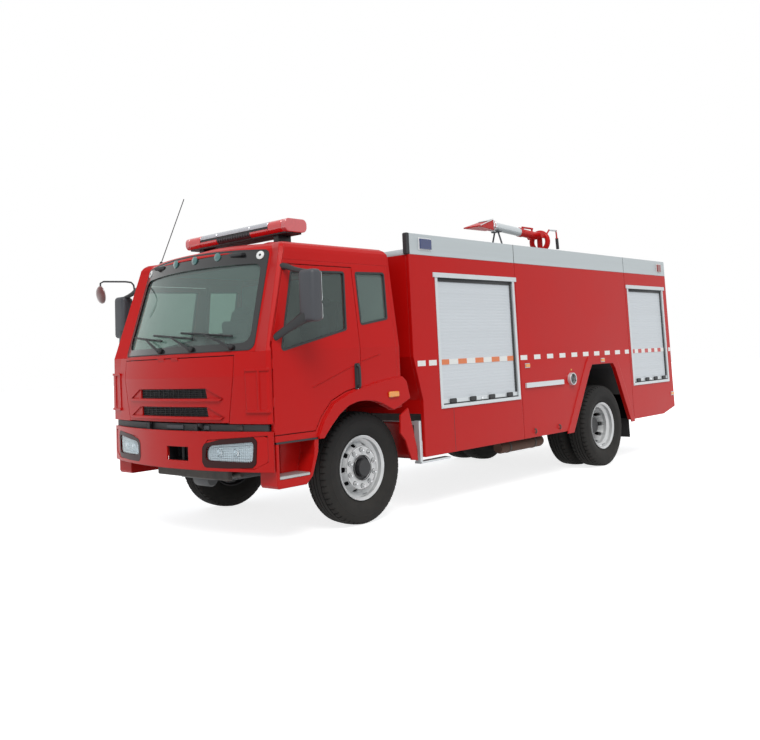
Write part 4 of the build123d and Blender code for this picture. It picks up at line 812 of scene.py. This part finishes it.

# Door handles and lamps on the flares

for side, sign in SIDES:
    m = Mesh()
    x = side_x(1.4)
    pts = rounded([(-0.205, 1.262), (-0.130, 1.262), (-0.130, 1.512), (-0.205, 1.512)], 0.02)
    m.prism([P(sign * (x - 0.002), d, z) for d, z in pts], [P(sign * (x + 0.004), d, z) for d, z in pts],
            BLACK)
    m.tube(route(sign, (x + 0.004, -0.168, 1.290), (x + 0.030, -0.168, 1.305), (x + 0.032, -0.168, 1.390),
                 (x + 0.030, -0.168, 1.475), (x + 0.004, -0.168, 1.490)), 0.013, BLACK, 12)
    m.lathe([(0, 0.010), (0.004, 0.010), (0.005, 0.0)], P(sign * (x + 0.003), -0.168, 1.252 + 0.018),
            (sign, 0, 0), CHROME, 16)
    m.make(f"door_handle_{side}", f"door_{side}")
    m = Mesh()
    m.box(across(sign, 1.262, 1.284), (0.222, 0.366), (1.170, 1.224), LENS_AMBER, 0.010)
    m.make(f"flare_lamp_{side}", "cab")

# Shutter bottom bars with their hand blocks

m = Mesh()
for start, end in SHUTTERS:
    for sign in (1, -1):
        run = (start + 0.046, end - 0.046)
        m.box(across(sign, 1.2285, 1.238), run, (1.040, 1.092), FRAME_ALU, 0.003)
        for k in range(4):
            d = run[0] + (run[1] - run[0]) * (0.12 + 0.76 * k / 3)
            m.box(across(sign, 1.236, 1.258), (d - 0.052, d + 0.052), (1.048, 1.094), BLACK, 0.006)
        middle = (run[0] + run[1]) / 2
        m.lathe([(0, 0.016), (0.006, 0.015), (0.007, 0.0)], P(sign * 1.238, middle, 1.066), (sign, 0, 0),
                CHROME, 16)
run = (-0.715, 0.715)
m.box(run, (6.6305, 6.642), (1.040, 1.092), FRAME_ALU, 0.003)
for x in (-0.5, -0.17, 0.17, 0.5):
    m.box((x - 0.040, x + 0.040), (6.640, 6.660), (1.046, 1.082), BLACK, 0.006)
m.make("shutter_bars", "chassis")

# Front wheels: shadow behind the hand holes, washers and nuts, hub end; rear wheels alike

NUTS = 10
NUT_CIRCLE = 0.1675
RIM_LIP = [(0.1110, 0.2990), (0.1122, 0.3005), (0.1130, 0.2985), (0.1115, 0.2965)]
# Rings of the front wheel: profile, material, segments and whether the profile closes
FRONT_RINGS = [
    ([(1.062, 0.194), (0.996, 0.233), (0.994, 0.231), (1.060, 0.192)], PAINTED_SHADOW, 60, True),
    ([(1.0975, 0.119), (1.0995, 0.1175), (1.0995, 0.1120), (1.0975, 0.1105)], BLACK_GLOSS, 60, True),
    ([(1.121, 0.078), (1.1265, 0.074), (1.1275, 0.040), (1.1265, 0.0)], BLACK, 48, False),
    ([(1.0815, 0.2030), (1.0822, 0.2010), (1.0815, 0.1990)], BLACK_GLOSS, 60, False),
]
for side, sign in SIDES:
    for name, d, nut_x, rim_x, valve_x in (("front", 0, 1.081, FRONT_WHEEL_X, FRONT_WHEEL_X + 0.045),
                                           ("rear", WHEELBASE, 0.941, REAR_OUTER_X, 1.125)):
        m = Mesh()
        axle = P(0, d, AXLE_Z)
        out = Vector((sign, 0, 0))
        if name == "front":
            for profile, mat, count, closed in FRONT_RINGS:
                m.lathe(profile, axle, out, mat, count, closed=closed)
        for k in range(NUTS):
            angle = math.radians(18 + 360 / NUTS * k)
            spot = axle + Vector((sign * nut_x, math.cos(angle) * NUT_CIRCLE, math.sin(angle) * NUT_CIRCLE))
            m.lathe([(0.0, 0.0235), (0.0016, 0.0230), (0.0018, 0.0165)], spot, out, BLACK_GLOSS, 24)
            m.lathe([(0.0018, 0.0195), (0.0045, 0.0185), (0.0050, 0.0160)], spot, out, CHROME, 24)
            if name == "front":
                m.lathe([(0.026, 0.0125), (0.034, 0.0110), (0.037, 0.0060), (0.038, 0.0)], spot, out, CHROME,
                        16)
        m.lathe([(rim_x + a, r) for a, r in RIM_LIP], axle, out, CHROME, 72, closed=True)
        valve = axle + Vector((sign * valve_x, 0.05, -0.258))
        stem = [valve, valve + Vector((sign * 0.03, 0.004, 0.008)),
                valve + Vector((sign * 0.058, 0.010, 0.020))]
        m.tube(stem, 0.005, CHROME, 8)
        m.make(f"{name}_wheel_trim_{side}", f"{name}_wheel_{side}")

# Silver band round the roof: sides, back, a low front edge and the black strips at the front corners

m = Mesh()
for sign in (1, -1):
    for low, high in ((0.662, 2.541), (2.553, 5.302), (5.314, 6.650)):
        outline = rounded([(1.228, 2.581), (1.250, 2.581), (1.250, 2.800), (1.228, 2.800)], 0.006, 0, 3)
        m.prism([P(sign * x, low, z) for x, z in outline], [P(sign * x, high, z) for x, z in outline], SILVER)
    for seam in (2.547, 5.308):
        m.box(across(sign, 1.230, 1.246), (seam - 0.007, seam + 0.007), (2.583, 2.798), BLACK)
    m.box(across(sign, 1.190, 1.252), (0.620, 0.664), (2.583, 2.802), BLACK, 0.008)
m.box((-1.230, 1.230), (6.628, 6.650), (2.581, 2.800), SILVER, 0.004)
edge = [(0.640, 2.581), (0.700, 2.581), (0.700, 2.634), (0.690, 2.641), (0.668, 2.641), (0.650, 2.632),
        (0.640, 2.612)]
m.prism([P(-1.236, d, z) for d, z in edge], [P(1.236, d, z) for d, z in edge], SILVER)
m.make("roof_band", "chassis", replaces=("top_rails",))

# Roller shutters with fine slats


def curtain(mesh, place, low, high, width_low, width_high):
    """Sheet of shallow slats between two heights, placed by a function of run, height and depth."""
    pitch = 0.0335
    count = round((high - low) / pitch)
    line = [(low, 0.0)]
    for k in range(count):
        z = low + (high - low) * k / count
        step = (high - low) / count
        line += [(z + 0.12 * step, 0.0018), (z + 0.25 * step, 0.0026), (z + 0.82 * step, 0.0024),
                 (z + 0.94 * step, 0.0009)]
    line.append((high, 0.0))
    front = [[place(w, z, depth) for z, depth in line] for w in (width_low, width_high)]
    back = [[place(w, z, -0.009) for z in (low, high)] for w in (width_low, width_high)]
    mesh.prism(front[0] + back[0][::-1], front[1] + back[1][::-1], SHUTTER)


m = Mesh()
for start, end in SHUTTERS:
    for sign in (1, -1):
        curtain(m, lambda w, z, depth, sign=sign: P(sign * (1.2235 + depth), w, z), 1.037, 2.358,
                start + 0.044, end - 0.044)
        m.box(across(sign, 1.200, 1.236), (start + 0.043, end - 0.043), (2.320, 2.359), BLACK, 0.003)
        # Black strip along the back edge of each opening: painted shade.
        m.box(across(sign, 1.200, 1.236), (end - 0.072, end - 0.043), (1.038, 2.322), BLACK, 0.003)
        m.box(across(sign, 1.200, 1.244), (start + 0.043, end - 0.043), (1.036, 1.049), BLACK, 0.003)
curtain(m, lambda w, z, depth: P(w, 6.6235 + depth, z), 1.037, 2.358, -0.716, 0.716)
m.box((-0.716, 0.716), (6.600, 6.634), (2.320, 2.359), BLACK, 0.003)
m.make("shutter_curtains", "chassis", smooth=50, replaces=("roller_shutters",))

# Small things on the sides: sills, surrounds, inlet caps, hooks, seams, creases

m = Mesh()
for sign in (1, -1):
    out = Vector((sign, 0, 0))
    for d, z, lift in ((2.696, 1.380, 0), (4.499, 1.384, 0.010), (6.595, 0.820, 0)):
        m.box(across(sign, 1.2505 + lift, 1.2555 + lift), (d - 0.052, d + 0.052), (z - 0.027, z + 0.027),
              LENS_SILVER, 0.004)
    m.box(across(sign, 1.2505, 1.2560), (0.802, 1.010), (2.632, 2.761), WHITE, 0.005)
    m.box(across(sign, 1.2505, 1.2560), (6.372, 6.508), (2.628, 2.757), WHITE, 0.005)
    spot = P(sign * 1.2895, 3.668, 1.178)
    m.lathe([(0.0, 0.0765), (0.004, 0.0745), (0.005, 0.0700), (0.001, 0.0640)], spot, out, FRAME_ALU, 48)
    m.lathe([(0.0008, 0.0640), (0.0040, 0.0600), (0.0050, 0.030), (0.0090, 0.026), (0.0100, 0.0)], spot, out,
            BLACK_GLOSS, 40)
    for k in range(3):
        angle = math.radians(90 + 120 * k)
        m.tube([spot + Vector((sign * 0.006, math.cos(angle) * 0.018, math.sin(angle) * 0.018)),
                spot + Vector((sign * 0.006, math.cos(angle) * 0.056, math.sin(angle) * 0.056))], 0.006,
                BLACK, 8)
    m.box(across(sign, 1.2505, 1.2530), (3.680, 3.706), (1.281, 1.299), BRASS, 0.001)
    for d in (2.775, 3.320):
        m.tube(route(sign, (1.249, d, 0.640), (1.268, d, 0.636), (1.274, d, 0.612), (1.266, d, 0.592),
                     (1.255, d, 0.594)), 0.008, FRAME_DARK, 10)
    m.box(across(sign, 1.2492, 1.2506), (1.2475, 1.2525), (0.560, 0.990), BLACK)
    m.box(across(sign, 1.228, 1.262), (1.060, 2.505), (1.001, 1.037), FRAME_ALU, 0.005)
    m.box(across(sign, 1.228, 1.262), (5.382, 6.515), (1.001, 1.037), FRAME_ALU, 0.005)
    m.lathe([(0.0, 0.0), (0.0, 0.060), (0.03, 0.070), (0.88, 0.070), (0.91, 0.060), (0.91, 0.0)],
            P(sign * 0.93, 2.46, 0.440), (0, 1, 0), RUST, 40)
    for d in (2.62, 3.16):
        m.lathe([(0.0, 0.074), (0.03, 0.074), (0.03, 0.069), (0.0, 0.069)], P(sign * 0.93, d, 0.440),
                (0, 1, 0), FRAME_DARK, 40, closed=True)
        m.box(across(sign, 0.915, 0.945), (d, d + 0.03), (0.505, 0.900), FRAME_DARK, 0.003)
    # Dark sheet behind the rear wheel arch: painted shadow under the body.
    m.box(across(sign, 0.660, 1.190), (5.212, 5.220), (0.560, 0.900), PAINTED_SHADOW, 0.002)
m.make("side_details", "chassis", smooth=30)

for side, sign in SIDES:
    for name, body, run in (("door", f"door_{side}", ((-0.738, 1.319), (-0.450, 1.413), (-0.128, 1.519))),
                            ("cab", "cab", ((-0.096, 1.529), (0.156, 1.587)))):
        m = Mesh()
        m.prism([P(sign * (side_x(z) - 0.002), d, z - 0.005) for d, z in run] +
                [P(sign * (side_x(z) - 0.002), d, z + 0.005) for d, z in reversed(run)],
                [P(sign * (side_x(z) + 0.004), d, z - 0.001) for d, z in run] +
                [P(sign * (side_x(z) + 0.004), d, z + 0.001) for d, z in reversed(run)], RED)
        m.make(f"{name}_crease_{side}", body, smooth=20)

# Light bar: red ends with clear caps, two-tone inner blocks, silver middle with speakers, on a black tray

m = Mesh()
SECTION = rounded([(-0.610, 2.782), (-0.330, 2.782), (-0.330, 2.910), (-0.610, 2.910)], 0.052, 0, 8)
MIDDLE = 2.846


def bar_part(low, high, mat, cut=0, shrink=0.0):
    """Length of the bar's section: whole, or its lower or upper part."""
    outline = rounded([(-0.610, 2.782), (-0.330, 2.782), (-0.330, 2.910), (-0.610, 2.910)], 0.052, shrink,
                      8) if shrink else SECTION
    if cut < 0:
        outline = [q for q in outline if q[1] <= MIDDLE]
    if cut > 0:
        outline = [q for q in outline if q[1] >= MIDDLE]
    ease = 0.004
    centre = (-0.470, MIDDLE)
    small = [(centre[0] + (d - centre[0]) * 0.97, centre[1] + (z - centre[1]) * 0.95) for d, z in outline]
    m.stack([[P(low, d, z) for d, z in small], [P(low + ease, d, z) for d, z in outline],
             [P(high - ease, d, z) for d, z in outline], [P(high, d, z) for d, z in small]], mat)


for sign in (1, -1):
    bar_part(*across(sign, 0.742, 0.805), BAR_CLEAR)
    bar_part(*across(sign, 0.548, 0.740), BAR_RED)
    bar_part(*across(sign, 0.268, 0.542), BAR_RED, -1)
    bar_part(*across(sign, 0.268, 0.542), LENS_SILVER, 1)
bar_part(-0.262, 0.262, GREY_SHELL, -1)
bar_part(-0.262, 0.262, LENS_SILVER, 1)
bar_part(-0.798, 0.798, BLACK, 0, 0.006)
for k in range(13):
    x = -0.240 + 0.040 * k
    m.box((x - 0.004, x + 0.004), (-0.6125, -0.604), (2.800, 2.840), BLACK, 0.001)
m.box((-0.765, 0.765), (-0.575, -0.365), (2.768, 2.792), BLACK, 0.004)
for x in (-0.600, 0.600):
    m.box((x - 0.035, x + 0.035), (-0.560, -0.380), (2.665, 2.775), BLACK, 0.010)
m.make("light_bar_set", "cab", smooth=40, replaces=("light_bar",))

# Mirrors: soft housings with glass on the rear face, black arms, the round one on the right

for side, sign in SIDES:
    m = Mesh()
    rings = []
    for z, shrink in ((1.885, 0.030), (1.890, 0.016), (1.905, 0.004), (1.925, 0.0), (2.290, 0.0),
                      (2.310, 0.004), (2.325, 0.016), (2.330, 0.030)):
        outline = rounded([(1.395, -1.0225), (1.585, -1.0225), (1.585, -0.8975), (1.395, -0.8975)], 0.040,
                          shrink, 5)
        rings.append([P(sign * x, d, z) for x, d in outline])
    m.stack(rings, GREY_SHELL)
    for low, high in ((1.905, 2.040), (2.056, 2.312)):
        pane = rounded([(1.412, low), (1.568, low), (1.568, high), (1.412, high)], 0.018, 0, 4)
        m.prism([P(sign * x, -0.899, z) for x, z in pane], [P(sign * x, -0.8955, z) for x, z in pane],
                MIRROR_GLASS)
    m.tube(route(sign, (1.145, -0.965, 2.392), (1.205, -0.962, 2.384), (1.300, -0.960, 2.350),
                 (1.380, -0.960, 2.330), (1.450, -0.960, 2.312)), [0.034, 0.027, 0.023, 0.022, 0.026], BLACK,
                 16)
    m.tube(route(sign, (1.215, -1.140, 1.762), (1.300, -1.090, 1.822), (1.380, -1.030, 1.884),
                 (1.450, -0.980, 1.935)), [0.030, 0.034, 0.042, 0.052], BLACK, 16)
    if sign < 0:
        m.tube(route(1, (-1.250, -0.963, 2.362), (-1.250, -0.975, 2.440), (-1.256, -1.000, 2.468),
                     (-1.290, -1.045, 2.478), (-1.430, -1.225, 2.486), (-1.450, -1.252, 2.470),
                     (-1.450, -1.255, 2.360)), 0.0095, BLACK, 12)
        hub = P(-1.450, -1.255, 2.344)
        tilt = Vector((-0.10, -1.0, -0.16))
        m.lathe([(0.020, 0.0), (0.019, 0.045), (0.010, 0.080), (-0.004, 0.094), (-0.012, 0.095)], hub, tilt,
                ROUND_LENS, 40)
        m.lathe([(-0.010, 0.0955), (-0.018, 0.0930), (-0.018, 0.0860), (-0.010, 0.0850)], hub, tilt, WHITE,
                40, closed=True)
        m.lathe([(-0.014, 0.0870), (-0.017, 0.0)], hub, tilt, MIRROR_GLASS, 40)
    m.make(f"mirror_set_{side}", f"door_{side}", smooth=40, replaces=(f"mirror_{side}",))

# Monitor: silver sleeve, ring, nozzle face and a plain steel tiller


def on_barrel(d):
    return P(0, d, 3.250 + 0.05556 * (5.088 - d))


m = Mesh()
along = (on_barrel(3.990) - on_barrel(4.640)).normalized()
base = on_barrel(4.640)
m.lathe([(0.0, 0.0585), (0.002, 0.0605), (0.645, 0.0605), (0.648, 0.0585)], base, along, FRAME_ALU, 48)
base = on_barrel(3.990)
m.lathe([(-0.002, 0.060), (-0.002, 0.0815), (0.030, 0.0818), (0.032, 0.0800), (0.058, 0.0800),
         (0.060, 0.0818), (0.091, 0.0815), (0.091, 0.060)], base, along, CHROME, 56)
for sign in (1, -1):
    m.tube(route(sign, (0.076, 3.905, 3.392), (0.134, 3.500, 3.264)), 0.0055, CHROME, 8)
plate = [P(-0.072, 3.893, 3.3935), P(0.072, 3.893, 3.3935), P(0.090, 3.760, 3.3560), P(-0.090, 3.760, 3.3560)]
m.prism(plate, [q + Vector((0, 0, 0.004)) for q in plate], CHROME)
m.make("barrel_sleeve", "monitor_barrel", smooth=30)
m = Mesh()
m.box((-0.560, 0.560), (-1.170, -1.120), (0.520, 0.640), FRAME_DARK, 0.010)
m.tube(route(1, (-0.620, -1.060, 0.560), (-0.200, -1.075, 0.530), (0.300, -1.070, 0.540),
             (0.620, -1.060, 0.575)), 0.028, FRAME_DARK, 12)
m.box((-0.300, 0.260), (-1.110, -0.820), (0.500, 0.620), ENGINE, 0.020)
m.lathe([(0.0, 0.0), (0.0, 0.060), (0.020, 0.072), (0.210, 0.072), (0.230, 0.060), (0.230, 0.0)],
        P(-0.130, -1.000, 0.490), (1, 0, 0), ENGINE, 28)
for x in (-0.470, 0.470):
    m.box((x - 0.045, x + 0.045), (-1.120, -0.620), (0.545, 0.600), FRAME_DARK, 0.008)
    m.box((x - 0.040, x + 0.040), (-1.040, -0.560), (0.515, 0.548), ENGINE, 0.006)
m.make("front_underside", "chassis", bevel=0.002)
m = Mesh()
m.tube(route(1, (0.110, 5.300, 3.340), (0.110, 5.480, 3.3455), (0.1100, 5.508, 3.330),
             (0.110, 5.516, 3.235)), 0.0130, FRAME_ALU, 14)
m.tube(route(1, (0.110, 5.512, 3.225), (0.110, 5.520, 3.063)), 0.0232, BLACK, 16)
m.make("tiller_grip", "monitor_swivel", smooth=30)

# Cab inside: lining on the back wall and the roof

m = Mesh()
m.box((-1.120, 1.120), (0.386, 0.392), (1.520, 2.440), LINING, 0.002)
m.box((-0.940, 0.940), (-0.640, 0.300), (2.5040, 2.5085), LINING, 0.002)
m.make("cab_lining", "cab")

# Seats: rigid bases, and cushions blown up by cloth simulation


def evaluated(obj):
    """Copy of an object's mesh with its modifiers applied."""
    graph = bpy.context.evaluated_depsgraph_get()
    return bpy.data.meshes.new_from_object(obj.evaluated_get(graph))


def cushion(name, centre, half, lean, mat, lines, crown=0.020, voxel=0.010):
    """Padded cushion from half sizes across, along and up, leaned about X, with sewn lines pressed in."""
    hx, hy, hz = half
    m = Mesh()
    rings = []
    for z, shrink in ((-hz, 0.030), (-hz * 0.7, 0.008), (0, 0.0), (hz * 0.7, 0.008), (hz, 0.030)):
        outline = rounded([(-hx, -hy), (hx, -hy), (hx, hy), (-hx, hy)], 0.055, shrink, 4)
        rings.append([Vector((a, b, z)) for a, b in outline])
    m.stack(rings, mat)
    mesh = bpy.data.meshes.new(name)
    mesh.from_pydata(m.verts, [], m.faces)
    mesh.update()
    face_outwards(mesh)
    obj = bpy.data.objects.new(name, mesh)
    bpy.context.scene.collection.objects.link(obj)
    grid = obj.modifiers.new("grid", "REMESH")
    grid.mode = "VOXEL"
    grid.voxel_size = voxel
    obj.data = evaluated(obj)
    obj.modifiers.clear()
    before = [v.co.copy() for v in obj.data.vertices]
    cloth = obj.modifiers.new("cloth", "CLOTH")
    cloth.settings.use_pressure = True
    cloth.settings.uniform_pressure_force = 4.0
    cloth.settings.effector_weights.gravity = 0.0
    cloth.settings.quality = 4
    cloth.point_cache.frame_start, cloth.point_cache.frame_end = 1, 20
    for frame_number in range(1, 21):
        bpy.context.scene.frame_set(frame_number)
    obj.data = evaluated(obj)
    obj.modifiers.clear()
    bpy.context.scene.frame_set(1)
    for vert, start in zip(obj.data.vertices, before):
        shift = vert.co - start
        if shift.length > crown:
            vert.co = start + shift * (crown / shift.length)
        x, y, z = vert.co
        dome = max(0.0, (1 - (x / hx) ** 2) * (1 - (y / hy) ** 2))
        if z > 0:
            vert.co.z += 0.012 * dome
        pull = 0.0
        for direction, at in lines:
            gap = abs((x if direction == "y" else y) - at)
            pull = max(pull, math.exp(-(gap / 0.009) ** 2))
        if z > 0.2 * hz:
            vert.co.z -= 0.011 * pull
        vert.co.x *= 1 - 0.030 * math.cos(math.pi * y / hy / 2) * (abs(x) > 0.8 * hx)
        vert.co.y *= 1 - 0.040 * math.cos(math.pi * x / hx / 2) * (abs(y) > 0.8 * hy)
        seam = math.exp(-(z / 0.007) ** 2) * (abs(x) > 0.86 * hx or abs(y) > 0.86 * hy)
        vert.co.x -= math.copysign(0.006 * seam * (abs(x) > 0.86 * hx), x)
        vert.co.y -= math.copysign(0.006 * seam * (abs(y) > 0.86 * hy), y)
    turn = Matrix.Translation(centre) @ Matrix.Rotation(lean, 4, "X")
    obj.data.transform(turn)
    fine = obj.modifiers.new("fine", "SUBSURF")
    fine.levels = fine.render_levels = 1
    obj.data = evaluated(obj)
    obj.modifiers.clear()
    obj.data.materials.clear()
    obj.data.materials.append(mat)
    obj.data.polygons.foreach_set("use_smooth", [True] * len(obj.data.polygons))
    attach(obj, "cab")
    return obj


m = Mesh()
for x in (-0.620, 0.620):
    m.box((x - 0.180, x + 0.180), (-0.520, -0.250), (1.211, 1.420), CABIN, 0.02)
    m.box((x - 0.225, x + 0.225), (-0.600, -0.190), (1.412, 1.440), CABIN, 0.01)
    back = [(-0.165, 1.470), (-0.085, 1.490), (0.048, 2.120), (0.010, 2.130)]
    m.prism([P(x - 0.215, d, z) for d, z in back], [P(x + 0.215, d, z) for d, z in back], CABIN)
m.box((-1.095, -0.462), (0.145, 0.384), (1.211, 1.440), CABIN, 0.01)
m.box((0.462, 1.095), (0.145, 0.384), (1.211, 1.440), CABIN, 0.01)
m.box((-0.455, 0.455), (0.145, 0.384), (1.432, 1.445), CABIN, 0.004)
m.make("seat_bases", "cab", bevel=0.004, replaces=("seats",))
for x, side in ((0.620, "left"), (-0.620, "right")):
    cushion(f"seat_cushion_{side}", P(x, -0.395, 1.478), (0.222, 0.195, 0.040), 0.05, FABRIC,
            [("y", -0.13), ("y", 0.13), ("x", 0.02)])
    cushion(f"seat_back_{side}", P(x, -0.095, 1.795), (0.215, 0.255, 0.036), math.radians(100), FABRIC,
            [("y", -0.12), ("y", 0.12), ("x", -0.08), ("x", 0.08)])
    cushion(f"head_rest_{side}", P(x, -0.012, 2.125), (0.130, 0.050, 0.030), math.radians(98), TRIM, [])
for x, name in ((-0.775, "right"), (0.0, "middle"), (0.775, "left")):
    width = 0.300 if name != "middle" else 0.400
    cushion(f"bench_cushion_{name}", P(x, 0.265, 1.466), (width, 0.105, 0.020), 0.0, FABRIC, [("y", 0.0)],
            crown=0.012)

# Camera of the photo

azimuth, pitch, roll = math.radians(43.196), math.radians(5.624), math.radians(-2.555)
look = Vector((-math.sin(azimuth) * math.cos(pitch), math.cos(azimuth) * math.cos(pitch), math.sin(pitch)))
level = Vector((math.cos(azimuth), math.sin(azimuth), 0))
upright = level.cross(look)
right = level * math.cos(roll) + upright * math.sin(roll)
upward = -level * math.sin(roll) + upright * math.cos(roll)
camera_data = bpy.data.cameras.new("camera")
camera = bpy.data.objects.new("camera", camera_data)
bpy.context.scene.collection.objects.link(camera)
camera.matrix_world = Matrix((
    (right.x, upward.x, -look.x, 6.773),
    (right.y, upward.y, -look.y, FRONT_AXLE - 5.917),
    (right.z, upward.z, -look.z, 1.571),
    (0, 0, 0, 1),
))
camera_data.sensor_width = 36
camera_data.sensor_fit = "HORIZONTAL"
camera_data.lens = 40.39
camera_data.shift_x = 0.0218
camera_data.shift_y = -0.1284
camera_data.clip_end = 200
bpy.context.scene.camera = camera

# Floor, background and lights


def seen_ray(tree):
    """1 for what the camera sees directly, in a gloss or through glass, otherwise 0."""
    path = add_node(tree, "LightPath", {}).outputs
    seen = math_node(tree, "MAXIMUM", path["Is Camera Ray"], path["Is Glossy Ray"])
    return math_node(tree, "MAXIMUM", seen, path["Is Transmission Ray"])


def backdrop(name, colour, glow):
    """Diffuse floor that also glows a little for the camera, so that it stays pale under a shadow."""
    m, tree = new_material(name)
    fill(tree, tree.nodes["Principled BSDF"], {
        "Base Color": (*colour, 1), "Roughness": 0.9, "Emission Color": (1, 1, 1, 1),
        "Emission Strength": math_node(tree, "MULTIPLY", seen_ray(tree), glow)})
    return m


floor_mesh = bpy.data.meshes.new("floor")
reach = 60
floor_mesh.from_pydata([(-reach, -reach, 0), (reach, -reach, 0), (reach, reach, 0), (-reach, reach, 0)], [],
                       [(0, 1, 2, 3)])
floor_mesh.materials.append(backdrop("floor_pale", (0.55, 0.55, 0.55), 0.80))
floor = bpy.data.objects.new("floor", floor_mesh)
bpy.context.scene.collection.objects.link(floor)

world = bpy.data.worlds.new("studio")
bpy.context.scene.world = world
world.use_nodes = True
tree = world.node_tree
background = tree.nodes["Background"]
fill(tree, background, {"Color": (0.80, 0.86, 0.92, 1), "Strength": 0.62})
white = add_node(tree, "Background", {"Color": (1, 1, 1, 1), "Strength": 1.0})
mix = add_node(tree, "MixShader", {
    "Fac": seen_ray(tree), 1: background.outputs["Background"], 2: white.outputs["Background"]})
fill(tree, tree.nodes["World Output"], {"Surface": mix.outputs["Shader"]})

sun_data = bpy.data.lights.new("key", "SUN")
sun_data.energy = 1.9
sun_data.angle = math.radians(28)
sun_data.color = (1.0, 0.985, 0.96)
sun = bpy.data.objects.new("key", sun_data)
sun.rotation_euler = Vector((4.5, -3.6, 7.0)).to_track_quat("Z", "Y").to_euler()
bpy.context.scene.collection.objects.link(sun)

bpy.context.scene.view_settings.view_transform = "Standard"
